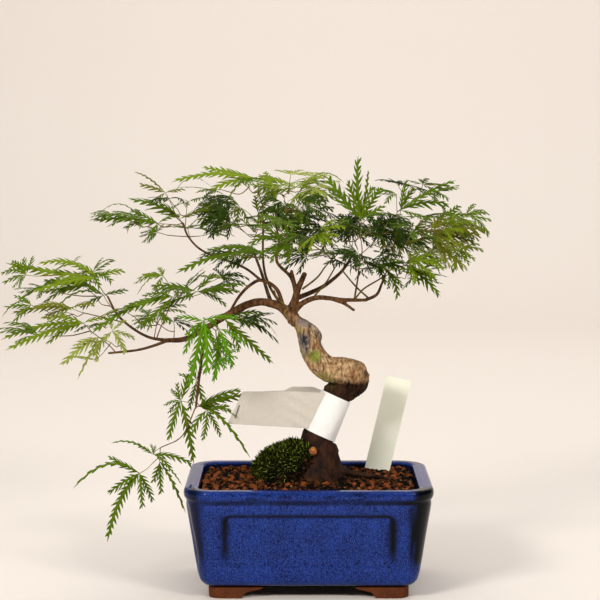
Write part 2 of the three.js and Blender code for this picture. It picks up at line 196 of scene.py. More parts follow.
def link_nodes(tree, routes):
    """Links nodes: each route is from a node and its output, to a node and its input."""
    for source, output, target, socket in routes:
        tree.links.new(source.outputs[output], target.inputs[socket])


def mottle_group():
    """Shared cloudy pattern: a 0 to 1 mask and the height that goes with it."""
    group = bpy.data.node_groups.new("mottle", "ShaderNodeTree")
    face = group.interface
    for name, default in (("Scale", 400.0), ("Stretch", 1.0), ("Contrast", 3.0), ("Detail", 4.0)):
        face.new_socket(name, in_out="INPUT", socket_type="NodeSocketFloat").default_value = default
    face.new_socket("Mask", in_out="OUTPUT", socket_type="NodeSocketFloat")
    face.new_socket("Height", in_out="OUTPUT", socket_type="NodeSocketFloat")
    given, out = add_node(group, "NodeGroupInput"), add_node(group, "NodeGroupOutput")
    place = add_node(group, "ShaderNodeTexCoord")
    stretch = add_node(group, "ShaderNodeCombineXYZ", X=1.0, Y=1.0)
    squeeze = add_node(group, "ShaderNodeVectorMath", operation="MULTIPLY")
    cloud = add_node(group, "ShaderNodeTexNoise", Roughness=0.6)
    shift = add_node(group, "ShaderNodeMath", operation="SUBTRACT")
    shift.inputs[1].default_value = 0.5
    gain = add_node(group, "ShaderNodeMath", operation="MULTIPLY")
    back = add_node(group, "ShaderNodeMath", operation="ADD", use_clamp=True)
    back.inputs[1].default_value = 0.5
    link_nodes(group, [
        (given, "Stretch", stretch, "Z"),
        (place, "Object", squeeze, 0),
        (stretch, 0, squeeze, 1),
        (squeeze, 0, cloud, "Vector"),
        (given, "Scale", cloud, "Scale"),
        (given, "Detail", cloud, "Detail"),
        (cloud, 0, shift, 0),
        (shift, 0, gain, 0),
        (given, "Contrast", gain, 1),
        (gain, 0, back, 0),
        (back, 0, out, "Mask"),
        (cloud, 0, out, "Height"),
    ])
    return group


MOTTLE = mottle_group()


def mottle(tree, scale, stretch=1.0, contrast=3.0, detail=4.0):
    made = tree.nodes.new("ShaderNodeGroup")
    made.node_tree = MOTTLE
    for name, value in (("Scale", scale), ("Stretch", stretch), ("Contrast", contrast), ("Detail", detail)):
        made.inputs[name].default_value = value
    return made


def blend_colours(tree, factor, a, b):
    """A colour between a and b, each a plain colour or another node's colour output."""
    mix = tree.nodes.new("ShaderNodeMix")
    mix.data_type = "RGBA"
    for socket, value in ((mix.inputs[6], a), (mix.inputs[7], b)):
        if isinstance(value, tuple):
            socket.default_value = value
        else:
            tree.links.new(value, socket)
    tree.links.new(factor, mix.inputs[0])
    return mix.outputs[2]


def shade_between(tree, pattern, dark, pale):
    """The pattern's own colour, from one 0 to 255 shade to another."""
    return blend_colours(tree, pattern.outputs["Mask"], colour(*dark), colour(*pale))


def set_base(tree, shader, base):
    tree.links.new(base, shader.inputs["Base Color"])


def scaled_mask(tree, mask, gain):
    part = add_node(tree, "ShaderNodeMath", operation="MULTIPLY", use_clamp=True)
    tree.links.new(mask, part.inputs[0])
    part.inputs[1].default_value = gain
    return part.outputs[0]


def attribute_mask(tree, name):
    return add_node(tree, "ShaderNodeAttribute", attribute_name=name).outputs["Fac"]


def add_bump(tree, shader, height, strength, distance):
    bump = add_node(tree, "ShaderNodeBump", Strength=strength, Distance=distance)
    tree.links.new(height, bump.inputs["Height"])
    tree.links.new(bump.outputs[0], shader.inputs["Normal"])


def glaze_material():
    """Cobalt glaze, flecked and streaked where it is thick; near black where it breaks thin over edges, and
    where shade is painted into it: in the grooves and recesses, under the lip, along the foot, at the corners
    and down the right side.
    """
    material, tree, shader = new_material("cobalt_glaze", Roughness=0.06, IOR=1.5, Specular_IOR_Level=0.1)
    streaks = mottle(tree, 500, 0.22, 5.0, 3.0)
    flecks = mottle(tree, 1500, 0.5, 7.0, 2.0)
    clouds = mottle(tree, 45, 0.8, 3.0, 3.0)
    base = shade_between(tree, clouds, (8, 24, 84), (22, 46, 122))
    base = blend_colours(tree, scaled_mask(tree, streaks.outputs["Mask"], 0.7), base, colour(4, 12, 54))
    base = blend_colours(tree, scaled_mask(tree, flecks.outputs["Mask"], 0.42), base, colour(60, 88, 170))
    # Near black where the glaze breaks thin, and where painted shade goes: grooves, recesses, under the lip,
    # the foot, the corners and the right side.
    base = blend_colours(tree, attribute_mask(tree, "glaze_break_and_shade"), base, colour(5, 7, 14))
    set_base(tree, shader, base)
    add_bump(tree, shader, clouds.outputs["Height"], 0.12, 0.0006)
    return material


def clay_material():
    material, tree, shader = new_material("red_brown_clay", Roughness=0.85, Specular_IOR_Level=0.12)
    grain = mottle(tree, 900, 1.0, 4.0, 4.0)
    stain = mottle(tree, 70, 1.0, 3.0, 3.0)
    base = shade_between(tree, grain, (84, 42, 20), (112, 60, 30))
    base = blend_colours(tree, scaled_mask(tree, stain.outputs["Mask"], 0.6), base, colour(70, 36, 22))
    set_base(tree, shader, base)
    add_bump(tree, shader, grain.outputs["Height"], 0.35, 0.0004)
    return material


def grit_material(name, shade, rough=0.95):
    """One colour of soil grain, crumbly and slightly uneven in tone."""
    material, tree, shader = new_material(name, Roughness=rough, Specular_IOR_Level=0.06)
    grain = mottle(tree, 700, 1.0, 3.0, 5.0)
    dark = tuple(int(c * 0.42) for c in shade)
    set_base(tree, shader, shade_between(tree, grain, dark, shade))
    add_bump(tree, shader, grain.outputs["Height"], 0.6, 0.0005)
    return material


def moss_material(name, shade):
    material, tree, shader = new_material(name, Roughness=0.9, Specular_IOR_Level=0.06)
    tone = mottle(tree, 260, 1.0, 3.0, 2.0)
    dark = tuple(int(c * 0.6) for c in shade)
    set_base(tree, shader, shade_between(tree, tone, dark, shade))
    return material


def bark_material():
    """Old bark: dark at the root and below the knee, partly dark root bark and partly painted shade; tan and
    wrinkled at the knee, with painted shade in its furrows; grey scars and algae above.
    """
    material, tree, shader = new_material("old_bark", Roughness=0.8, Specular_IOR_Level=0.15)
    fibres = mottle(tree, 520, 0.35, 4.0, 6.0)
    blotches = mottle(tree, 120, 0.7, 4.0, 4.0)
    pale = mottle(tree, 260, 1.0, 5.0, 4.0)
    tan = shade_between(tree, fibres, (88, 58, 32), (216, 182, 138))
    tan = blend_colours(tree, scaled_mask(tree, blotches.outputs["Mask"], 0.6), tan, colour(146, 98, 52))
    root = shade_between(tree, fibres, (4, 3, 2), (36, 21, 13))
    root = blend_colours(tree, scaled_mask(tree, blotches.outputs["Mask"], 0.35), root, colour(96, 54, 30))
    # Below the knee the bark goes near black: dark root bark, with painted shade where the lower trunk lies
    # under the knee.
    base = blend_colours(tree, attribute_mask(tree, "root_bark_and_shade"), tan, root)
    green = shade_between(tree, pale, (98, 104, 34), (142, 146, 62))
    base = blend_colours(tree, attribute_mask(tree, "algae"), base, green)
    scar = shade_between(tree, pale, (50, 46, 50), (132, 128, 126))
    base = blend_colours(tree, attribute_mask(tree, "scar"), base, scar)
    young = shade_between(tree, fibres, (50, 30, 17), (112, 76, 44))
    base = blend_colours(tree, attribute_mask(tree, "young"), base, young)
    # Painted shade in the bark's furrows and the knee's wrinkle troughs.
    base = blend_colours(tree, attribute_mask(tree, "furrow_shade"), base, colour(34, 22, 13))
    set_base(tree, shader, base)
    add_bump(tree, shader, fibres.outputs["Height"], 0.5, 0.0007)
    return material


def wood_material(name, shade, dark_shade, rough=0.6):
    material, tree, shader = new_material(name, Roughness=rough, Specular_IOR_Level=0.12)
    tone = mottle(tree, 300, 0.6, 4.0, 3.0)
    set_base(tree, shader, shade_between(tree, tone, dark_shade, shade))
    add_bump(tree, shader, tone.outputs["Height"], 0.3, 0.0003)
    return material


def leaf_material(name, shade, rough=0.5):
    """One plain tint of leaf with a soft waxy shine; sprays are dealt out among the tints."""
    material, tree, shader = new_material(name, Roughness=rough, Specular_IOR_Level=0.05)
    shader.inputs["Base Color"].default_value = colour(*shade)
    veins = mottle(tree, 900, 1.0, 2.0, 2.0)
    add_bump(tree, shader, veins.outputs["Height"], 0.25, 0.0003)
    return material


def paper_material(name, shade, rough=0.9):
    material, tree, shader = new_material(name, Roughness=rough)
    fibres = mottle(tree, 380, 1.0, 3.0, 5.0)
    faint = tuple(int(c * 0.965) for c in shade)
    set_base(tree, shader, shade_between(tree, fibres, faint, shade))
    add_bump(tree, shader, fibres.outputs["Height"], 0.15, 0.0003)
    return material


# ---------------------------------------------------------------- pot
POT_HALF = (100.0, 75.0)
POT_CORNER = 25.0
CAVITY_FLOOR = 18.0
# Height and how far the wall stands in from the lip, from the foot ring up and over into the bowl.
OUTER_PROFILE = [
    (10.0, 30.0), (10.0, 21.0), (10.5, 18.2), (12.0, 15.4), (15.0, 12.8), (21.0, 11.0), (35.0, 8.6),
    (49.0, 6.5),
    (62.0, 4.3), (72.0, 2.6), (77.0, 1.9), (79.3, 2.3), (80.4, 2.2), (81.6, 1.0), (83.2, 0.2), (86.0, 0.0),
    (88.0, 0.25), (89.4, 1.0), (90.0, 2.6), (89.9, 5.5), (90.0, 9.0), (89.4, 11.2), (87.8, 12.0),
    (60.0, 15.6), (30.0, 19.2), (18.0, 23.0), (18.0, 34.0),
]
PANEL_LOW, PANEL_HIGH, PANEL_DEPTH = 28.0, 70.0, 1.6
PANEL_REACH = {"front": 68.0, "side": 43.0}  # from the wall's middle to the panel's edge
GROOVE_REACH = {"front": 82.0, "side": 57.0}  # and to the groove beside the corner


def dense_profile(profile, step=1.0):
    """The profile as a smooth run of points, about a step apart where the wall is plain."""
    knots = np.array(profile)
    points = [knots[0]]
    for a, b in zip(knots[:-1], knots[1:]):
        count = max(1, round(np.hypot(*(b - a)) / step))
        points.extend(a + (b - a) * (k + 1) / count for k in range(count))
    points = np.array(points)
    for _ in range(2):
        points[1:-1] = points[1:-1] * 0.5 + (points[:-2] + points[2:]) * 0.25
    return points


def pot_ring(inset, along_front, along_side, corner_steps=12):
    """One ring of the pot: its points, outward directions, and each point's distance along its own wall."""
    hx, hy = POT_HALF[0] - inset, POT_HALF[1] - inset
    r = max(POT_CORNER - inset, 6.0)
    front, side = (hx, hy, along_front), (hy, hx, along_side)
    walls = [((0, -1), *front), ((1, 0), *side), ((0, 1), *front), ((-1, 0), *side)]
    points, outward, along, ends = [], [], [], []
    for (nx, ny), half, stand, fractions in walls:
        tx, ty = -ny, nx
        for f in fractions:
            p = f * (half - r)
            points.append((nx * stand + tx * p, ny * stand + ty * p))
            outward.append((nx, ny))
            along.append(p)
            ends.append(half)
        for k in range(1, corner_steps):
            angle = k / corner_steps * math.pi / 2
            c, s = math.cos(angle), math.sin(angle)
            ox, oy = nx * c + tx * s, ny * c + ty * s
            x = nx * (stand - r) + tx * (half - r) + ox * r
            y = ny * (stand - r) + ty * (half - r) + oy * r
            points.append((x, y))
            outward.append((ox, oy))
            along.append(half - r + r * math.sin(angle))
            ends.append(half)
    return np.array(points), np.array(outward), np.array(along), np.array(ends)


def pot_relief(along, half, z):
    """How deep the moulded wall is cut at a place, and how dark it is painted there: the glaze breaking thin
    along the panel's edge and in the grooves, with painted shade in those recesses.
    """
    is_front = half > (POT_HALF[0] + POT_HALF[1]) / 2
    panel_reach = np.where(is_front, PANEL_REACH["front"], PANEL_REACH["side"])
    groove_reach = np.where(is_front, GROOVE_REACH["front"], GROOVE_REACH["side"])
    centre, reach = (PANEL_LOW + PANEL_HIGH) / 2, (PANEL_HIGH - PANEL_LOW) / 2
    corner = 6.0
    qx = np.abs(along) - (panel_reach - corner)
    qz = np.full_like(along, abs(z - centre) - (reach - corner))
    edge = np.hypot(np.maximum(qx, 0), np.maximum(qz, 0)) + np.minimum(np.maximum(qx, qz), 0) - corner
    upright = smoothstep(-3.0, 3.0, qx - qz)  # 1 beside the panel, 0 above and below it
    low = float(smoothstep(42.0, 30.0, z))  # the panel dies away towards its foot
    panel = smoothstep(1.6 + 3.4 * low, -2.6 - 3.4 * low, edge)
    line = np.exp(-(((edge + 0.6 + upright) / (1.5 + 1.9 * upright)) ** 2))
    low_fade = float(smoothstep(26.0, 44.0, z))
    groove = np.exp(-(((np.abs(along) - groove_reach) / 2.2) ** 2))
    groove *= float(smoothstep(22.0, 40.0, z) * smoothstep(79.5, 75.0, z))
    depth = PANEL_DEPTH * panel + 0.9 * line * (1 - 0.75 * low) + 1.5 * groove
    # Darkness along the panel's edge line and the grooves: thin glaze there, and painted shade in the
    # recesses.
    return depth, np.maximum(1.25 * line * (0.12 + 0.88 * low_fade), groove)


def build_pot():
    profile = dense_profile(OUTER_PROFILE)
    fine = np.sin(np.linspace(-math.pi / 2, math.pi / 2, 121))
    fine_side = np.sin(np.linspace(-math.pi / 2, math.pi / 2, 91))
    top = int(np.argmax(profile[:, 0]))
    rows, break_and_shade_rows = [], []
    for k, (z, inset) in enumerate(profile):
        ring, outward, along, half = pot_ring(inset, fine, fine_side)
        thin = np.zeros(len(ring))
        place = np.column_stack([ring, np.full(len(ring), z)])
        if k < top:
            if 12.0 < z < 79.0:
                depth, thin = pot_relief(along, half, z)
                ring = ring - outward * depth[:, None]
            # Painted dark at the corners: the glaze breaking thin over the edge, and painted shade with a
            # painted dark reflection, more on the right.
            corner = smoothstep(0.72, 0.98, np.abs(outward[:, 0]) * np.abs(outward[:, 1]) * 2)
            # right: painted shade and painted dark reflection, heavier down the pot's right side, which is
            # turned away from the lights.
            right = smoothstep(40.0, 88.0, ring[:, 0])
            place = np.column_stack([ring, np.full(len(ring), z)])  # on the cut wall
            drips = 0.5 + 0.5 * noise_at(place, (0.16, 0.16, 0.018), 5.0)
            run = 0.5 + 0.5 * noise_at(place, (0.06, 0.06, 0.02), 8.0)
            thin = thin * (0.75 + 0.35 * right + 0.3 * (drips - 0.5))
            # Near the front corners a dark strip: the glaze breaking thin, and painted shade, strongest on
            # the right.
            near_corner_break_and_shade = smoothstep(79.0, 88.0, np.abs(ring[:, 0])) * (0.4 + 0.9 * right) * (0.5 + 0.9 * drips)
            near_corner_break_and_shade = near_corner_break_and_shade * smoothstep(0.0, 0.35, np.abs(outward[:, 1]))  # not on the plain side walls
            corner_break_and_shade = np.maximum(corner * (0.85 + 0.3 * right), near_corner_break_and_shade)
            thin = np.maximum(thin, corner_break_and_shade * float(smoothstep(16.0, 40.0, z)))
            # Painted shade under the lip's overhang: a dark band along the top of the wall.
            under_lip_shade = float(smoothstep(78.0, 79.4, z) * smoothstep(84.0, 81.6, z))
            under_lip_shade = under_lip_shade * (0.35 + 0.4 * right + 0.5 * run)
            # Painted shade along the wall's foot, where it curves under above the feet.
            foot_line_shade = float(smoothstep(12.5, 10.6, z))
            thin = np.clip(np.maximum(thin, np.maximum(under_lip_shade, foot_line_shade)), 0.0, 1.0)
        elif z < 88.5:
            # Inside the bowl the wall is painted dark.
            thin = np.full(len(ring), 0.8)
        if 83.0 < z and k < top + 6:
            mottled = smoothstep(-0.25, 0.6, noise_at(place, (0.09, 0.09, 0.35), 21.0))
            thin = np.maximum(thin, 0.62 * mottled * (ring[:, 1] < 0) * smoothstep(89.6, 88.6, z))
        rows.append(place)
        break_and_shade_rows.append(thin)
    columns = len(rows[0])
    points = np.concatenate(rows)
    triangles = grid_triangles(len(rows), columns, closed=True)
    hubs = [[0, 0, rows[0][0][2]], [0, 0, rows[-1][0][2]]]
    points, triangles = close_ends(points, triangles, columns, hubs)
    pot = triangle_piece("pot_glazed", points, triangles, [glaze_material()], smooth=True)
    point_attribute(pot.data, "glaze_break_and_shade", np.concatenate([*break_and_shade_rows, [1, 1]]))
    finish_piece(pot, "glaze", "pot_bowl")


def build_feet():
    """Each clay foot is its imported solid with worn, rounded edges."""
    clay = clay_material()
    for side in ("front_left", "front_right", "back_left", "back_right"):
        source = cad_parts["foot_" + side]
        foot = bpy.data.objects.new("clay_foot_" + side, source.data.copy())
        bpy.context.scene.collection.objects.link(foot)
        foot.modifiers.clear()
        remesh = foot.modifiers.new("worn", "REMESH")
        remesh.mode = "VOXEL"
        remesh.voxel_size = 0.7 * MM
        smooth = foot.modifiers.new("rounded", "SMOOTH")
        smooth.iterations = 4
        applied(foot)
        points = mesh_points(foot.data)
        lift = 0.12 * noise_at(points, (0.25, 0.25, 0.25))
        low, high = box_mm("foot_" + side)
        points = np.clip(points + point_normals(foot.data) * lift[:, None], low, high)
        set_mesh_points(foot.data, points)
        foot.data.materials.clear()
        foot.data.materials.append(clay)
        shade_smooth(foot.data)
        finish_piece(foot, "unglazed_clay", "foot_" + side)


# ---------------------------------------------------------------- soil and moss
SOIL_HALF = (87.0, 62.0)
SOIL_CORNER = 14.0
SOIL_EDGE, SOIL_CROWN = 83.0, 91.5
CROWN_CENTRE = (-8.0, 0.0)


def soil_height(x, y):
    mound = np.exp(-(((x - CROWN_CENTRE[0]) / 60.0) ** 2) - (((y - CROWN_CENTRE[1]) / 44.0) ** 2))
    ripples = 0.8 * np.sin(x * 0.13 + 1.0) * np.cos(y * 0.17)
    return SOIL_EDGE + (SOIL_CROWN - SOIL_EDGE) * mound + ripples


def soil_plug(name, material):
    """The packed soil under the loose grains, closed, and filling the bowl down to its floor."""
    steps = 12
    arc = np.linspace(0, math.pi / 2, steps)
    rings = []
    hx, hy = SOIL_HALF
    outline = []
    for quarter, (sx, sy) in enumerate(((1, 1), (-1, 1), (-1, -1), (1, -1))):
        angles = arc + quarter * math.pi / 2
        cx, cy = sx * (hx - SOIL_CORNER), sy * (hy - SOIL_CORNER)
        outline += [(cx + SOIL_CORNER * math.cos(a), cy + SOIL_CORNER * math.sin(a)) for a in angles]
    outline = np.array(outline)
    for share in np.linspace(0.02, 1.0, 34):
        x, y = outline[:, 0] * share, outline[:, 1] * share
        rings.append(np.column_stack([x, y, soil_height(x, y)]))
    floor = outline * 0.88
    bed = CAVITY_FLOOR + 0.6
    for share in (1.0, 0.02):
        rings.append(np.column_stack([floor * share, np.full(len(floor), bed)]))
    points = np.concatenate(rings)
    columns = len(outline)
    triangles = grid_triangles(len(rings), columns, closed=True)[:, ::-1]
    hubs = [[0, 0, soil_height(0.0, 0.0)], [0, 0, bed]]
    points, triangles = close_ends(points, triangles, columns, hubs, inward=True)
    return triangle_piece(name, points, triangles, [material], smooth=True)


def scatter_tree():
    """Nodes that strew small lumps over a surface. Every size is a named input."""
    tree = bpy.data.node_groups.new("strewn_lumps", "GeometryNodeTree")
    face = tree.interface
    face.new_socket("Geometry", in_out="INPUT", socket_type="NodeSocketGeometry")
    face.new_socket("Geometry", in_out="OUTPUT", socket_type="NodeSocketGeometry")
    for name, kind in (
        ("Spacing", "Float"), ("Density", "Float"), ("Seed", "Int"), ("Size", "Float"),
        ("Smallest", "Float"), ("Largest", "Float"), ("Sides", "Int"), ("Rings", "Int"),
        ("Height", "Float"), ("Tilt", "Float"), ("Roughness", "Float"), ("Lift", "Float"),
    ):
        face.new_socket(name, in_out="INPUT", socket_type="NodeSocket" + kind)
    face.new_socket("Finish", in_out="INPUT", socket_type="NodeSocketMaterial")
    face.new_socket("Pointed", in_out="INPUT", socket_type="NodeSocketBool")
    given, out = add_node(tree, "NodeGroupInput"), add_node(tree, "NodeGroupOutput")
    strew = add_node(tree, "GeometryNodeDistributePointsOnFaces", distribute_method="POISSON")
    ball = add_node(tree, "GeometryNodeMeshUVSphere")
    blade = add_node(tree, "GeometryNodeMeshCone", Vertices=4, Side_Segments=2)
    shape = add_node(tree, "GeometryNodeSwitch", input_type="GEOMETRY")
    placed = add_node(tree, "GeometryNodeInstanceOnPoints")
    size = add_node(tree, "FunctionNodeRandomValue", data_type="FLOAT")
    lean = add_node(tree, "FunctionNodeRandomValue", data_type="FLOAT_VECTOR")
    low = add_node(tree, "ShaderNodeVectorMath", operation="SCALE")
    low.inputs[0].default_value = (-1, -1, -6)
    high = add_node(tree, "ShaderNodeVectorMath", operation="SCALE")
    high.inputs[0].default_value = (1, 1, 6)
    turned = add_node(tree, "FunctionNodeRotateRotation", rotation_space="LOCAL")
    real = add_node(tree, "GeometryNodeRealizeInstances")
    crumble = add_node(tree, "GeometryNodeSetPosition")
    rough = add_node(tree, "ShaderNodeTexNoise", Scale=420.0, Detail=1.0)
    place = add_node(tree, "GeometryNodeInputPosition")
    centred = add_node(tree, "ShaderNodeVectorMath", operation="SUBTRACT")
    centred.inputs[1].default_value = (0.5, 0.5, 0.5)
    amount = add_node(tree, "ShaderNodeVectorMath", operation="SCALE")
    rise = add_node(tree, "ShaderNodeCombineXYZ")
    moved = add_node(tree, "ShaderNodeVectorMath", operation="ADD")
    coat = add_node(tree, "GeometryNodeSetMaterial")
    link_nodes(tree, [
        (given, "Geometry", strew, "Mesh"),
        (given, "Spacing", strew, "Distance Min"),
        (given, "Density", strew, "Density Max"),
        (given, "Seed", strew, "Seed"),
        (given, "Sides", ball, "Segments"),
        (given, "Rings", ball, "Rings"),
        (given, "Size", ball, "Radius"),
        (given, "Size", blade, "Radius Bottom"),
        (given, "Height", blade, "Depth"),
        (given, "Pointed", shape, "Switch"),
        (ball, "Mesh", shape, "False"),
        (blade, "Mesh", shape, "True"),
        (strew, "Points", placed, "Points"),
        (shape, 0, placed, "Instance"),
        (given, "Smallest", size, 2),
        (given, "Largest", size, 3),
        (given, "Seed", size, "Seed"),
        (size, 1, placed, "Scale"),
        (given, "Tilt", low, "Scale"),
        (given, "Tilt", high, "Scale"),
        (low, 0, lean, 0),
        (high, 0, lean, 1),
        (strew, "Rotation", turned, 0),
        (lean, 0, turned, 1),
        (turned, 0, placed, "Rotation"),
        (placed, 0, real, 0),
        (real, 0, crumble, "Geometry"),
        (place, 0, rough, "Vector"),
        (rough, "Color", centred, 0),
        (centred, 0, amount, 0),
        (given, "Roughness", amount, "Scale"),
        (given, "Lift", rise, "Z"),
        (amount, 0, moved, 0),
        (rise, 0, moved, 1),
        (moved, 0, crumble, "Offset"),
        (crumble, 0, coat, "Geometry"),
        (given, "Finish", coat, "Material"),
        (coat, 0, out, "Geometry"),
    ])
    return tree


def strew(name, surface, tree, finish, **inputs):
    """Runs the scatter nodes over a copy of a surface and keeps the result as a plain mesh."""
    piece = bpy.data.objects.new(name, surface.data.copy())
    bpy.context.scene.collection.objects.link(piece)
    modifier = piece.modifiers.new("strewn", "NODES")
    modifier.node_group = tree
    values = {**inputs, "Finish": finish}
    for item in tree.interface.items_tree:
        if item.in_out == "INPUT" and item.name in values:
            modifier[item.identifier] = values[item.name]
    return applied(piece)


def soil_skin(patchy=-9.0):
    """The soil's top surface, inset from the bowl's wall, for the grains to lie on: whole, or in patches."""
    xs, ys = np.meshgrid(np.linspace(-1, 1, 60), np.linspace(-1, 1, 44), indexing="ij")
    reach_x, reach_y = SOIL_HALF[0] - 2.2, SOIL_HALF[1] - 2.2
    corner = SOIL_CORNER - 2.0
    x, y = xs * reach_x, ys * reach_y
    flat_x, flat_y = reach_x - corner, reach_y - corner
    over = np.hypot(np.maximum(np.abs(x) - flat_x, 0), np.maximum(np.abs(y) - flat_y, 0))
    pull = np.where(over > corner, corner / np.maximum(over, 1e-6), 1.0)
    x = np.where(over > corner, np.sign(x) * (flat_x + (np.abs(x) - flat_x) * pull), x)
    y = np.where(over > corner, np.sign(y) * (flat_y + (np.abs(y) - flat_y) * pull), y)
    points = np.column_stack([x.ravel(), y.ravel(), soil_height(x, y).ravel()])
    triangles = grid_triangles(60, 44)
    middles = points[triangles].mean(axis=1)
    from_trunk = np.hypot(middles[:, 0] - 6, middles[:, 1] + 4)
    bare = noise_at(middles, (0.05, 0.05, 0.0), 13.0) + 0.012 * from_trunk - 0.5
    bare += 0.3 * smoothstep(-30.0, -56.0, middles[:, 1])
    return triangle_piece("soil_skin", points, triangles[bare > patchy], [])


def build_soil(tree):
    dark = grit_material("soil_dark", (52, 34, 20))
    plug = soil_plug("soil_bed", dark)
    finish_piece(plug, "soil", "soil")
    kinds = [
        # name, finish, spacing mm, radius mm, seed, how high it sits, how patchy
        ("grains_dark", dark, 2.4, 1.7, 3, 0.3, -9.0),
        ("grains_brown", grit_material("soil_brown", (98, 56, 26)), 3.6, 1.7, 8, 0.8, -0.7),
        ("grains_fired", grit_material("soil_fired", (156, 82, 40)), 7.4, 2.3, 21, 1.0, 0.1),
        ("grains_rust", grit_material("soil_rust", (110, 56, 26)), 5.4, 1.7, 29, 0.9, -0.25),
        ("grains_black", grit_material("soil_black", (18, 12, 8)), 3.0, 1.8, 34, 0.9, -9.0),
        ("grains_tan", grit_material("soil_tan", (146, 106, 62)), 10.5, 1.2, 55, 1.5, -0.4),
    ]
    for name, finish, spacing, radius, seed, lift, patchy in kinds:
        skin = soil_skin(patchy)
        grains = strew(
            name, skin, tree, finish, Spacing=spacing * MM, Density=4e5, Seed=seed, Size=radius * MM,
            Smallest=0.4, Largest=1.5, Sides=7, Rings=5, Height=0.0, Tilt=3.1, Roughness=0.0026,
            Lift=lift * MM, Pointed=False,
        )
        finish_piece(grains, "soil")
        bpy.data.objects.remove(skin)


LONE_GRAIN = ((3.6, -18.6, 113.1), 3.4)


def build_lone_grain():
    """One fired grain lodged against the trunk's foot."""
    place, radius = LONE_GRAIN
    run = [
        (place[0], place[1], place[2] + radius * math.cos(a), max(radius * math.sin(a), 0.2))
        for a in np.linspace(math.pi, 0, 9)
    ]
    points, triangles = sweep(np.array(run), 14)
    points = points + 0.35 * noise_at(points, (0.5, 0.5, 0.5), 3.0)[:, None]
    finish = grit_material("soil_lodged", (214, 132, 76))
    grain = triangle_piece("lodged_grain", points, triangles, [finish], smooth=True)
    finish_piece(grain, "soil")


MOSS_CENTRE = (-19.0, -8.0)
MOSS_REACH = (26.5, 22.0)
MOSS_FOOT, MOSS_HEIGHT, MOSS_LEAN = 89.0, 28.5, 0.26  # it climbs towards the trunk


def build_moss(tree):
    """A cushion of moss against the root flare: a lumpy mound under short leafy shoots."""
    rows, columns = 26, 60
    share, turn = np.meshgrid(
        np.linspace(0.02, 1.0, rows) ** 0.7, np.linspace(0, 2 * math.pi, columns, False), indexing="ij"
    )
    edge = 1 + 0.08 * np.sin(turn * 3 + 1) + 0.05 * np.sin(turn * 7)
    x = MOSS_CENTRE[0] + MOSS_REACH[0] * share * edge * np.cos(turn)
    y = MOSS_CENTRE[1] + MOSS_REACH[1] * share * edge * np.sin(turn)
    rise = (MOSS_HEIGHT + MOSS_LEAN * (x - MOSS_CENTRE[0])) * (1 - share**3) ** 0.42
    points = np.column_stack([x.ravel(), y.ravel(), (MOSS_FOOT + rise).ravel()])
    lumps = noise_at(points, (0.11, 0.11, 0.11), 4.0) + 0.6 * noise_at(points, (0.3, 0.3, 0.3), 9.0)
    points += 2.2 * lumps[:, None]
    triangles = grid_triangles(rows, columns, closed=True)[:, ::-1]
    hubs = [[*MOSS_CENTRE, MOSS_FOOT + MOSS_HEIGHT], [*MOSS_CENTRE, MOSS_FOOT - 3]]
    points, triangles = close_ends(points, triangles, columns, hubs, inward=True)
    deep = moss_material("moss_deep", (24, 20, 9))
    body = triangle_piece("moss_mound", points, triangles, [deep], smooth=True)
    finish_piece(body, "moss", "moss")
    middles = points[triangles].mean(axis=1)
    bare_below = MOSS_FOOT + 1.0 + 0.55 * (middles[:, 0] + 32.0)
    bare_below = bare_below + 5.0 * noise_at(middles, (0.09, 0.09, 0.09), 2.0)
    bare = (middles[:, 2] < bare_below) & (middles[:, 1] < 2.0)
    leafy = triangle_piece("moss_leafy", points, triangles[~bare], [])
    earthy = triangle_piece("moss_earthy", points, triangles[bare], [])
    for name, finish, spacing, radius, seed in (
        ("mound_grains_dark", bpy.data.materials["soil_dark"], 2.2, 1.5, 61),
        ("mound_grains_brown", bpy.data.materials["soil_brown"], 4.6, 1.5, 62),
        ("mound_grains_black", bpy.data.materials["soil_black"], 2.6, 1.6, 63),
    ):
        grains = strew(
            name, earthy, tree, finish, Spacing=spacing * MM, Density=6e5, Seed=seed, Size=radius * MM,
            Smallest=0.4, Largest=1.3, Sides=7, Rings=5, Height=0.0, Tilt=3.1, Roughness=0.0022,
            Lift=0.0, Pointed=False,
        )
        finish_piece(grains, "soil")
    shades = (
        ("moss_shoots_dark", (26, 28, 5), 2, 1.1),
        ("moss_shoots_mid", (62, 74, 10), 7, 1.45),
        ("moss_shoots_light", (146, 160, 60), 13, 2.3),
    )
    for name, shade, seed, spacing in shades:
        shoots = strew(
            name, leafy, tree, moss_material(name, shade), Spacing=spacing * MM, Density=2e6, Seed=seed,
            Size=0.5 * MM, Smallest=0.5, Largest=1.4, Sides=4, Rings=3, Height=3.6 * MM, Tilt=0.8,
            Roughness=0.0006, Lift=0.0, Pointed=True,
        )
        finish_piece(shoots, "moss")
    for surface in (leafy, earthy):
        bpy.data.objects.remove(surface)


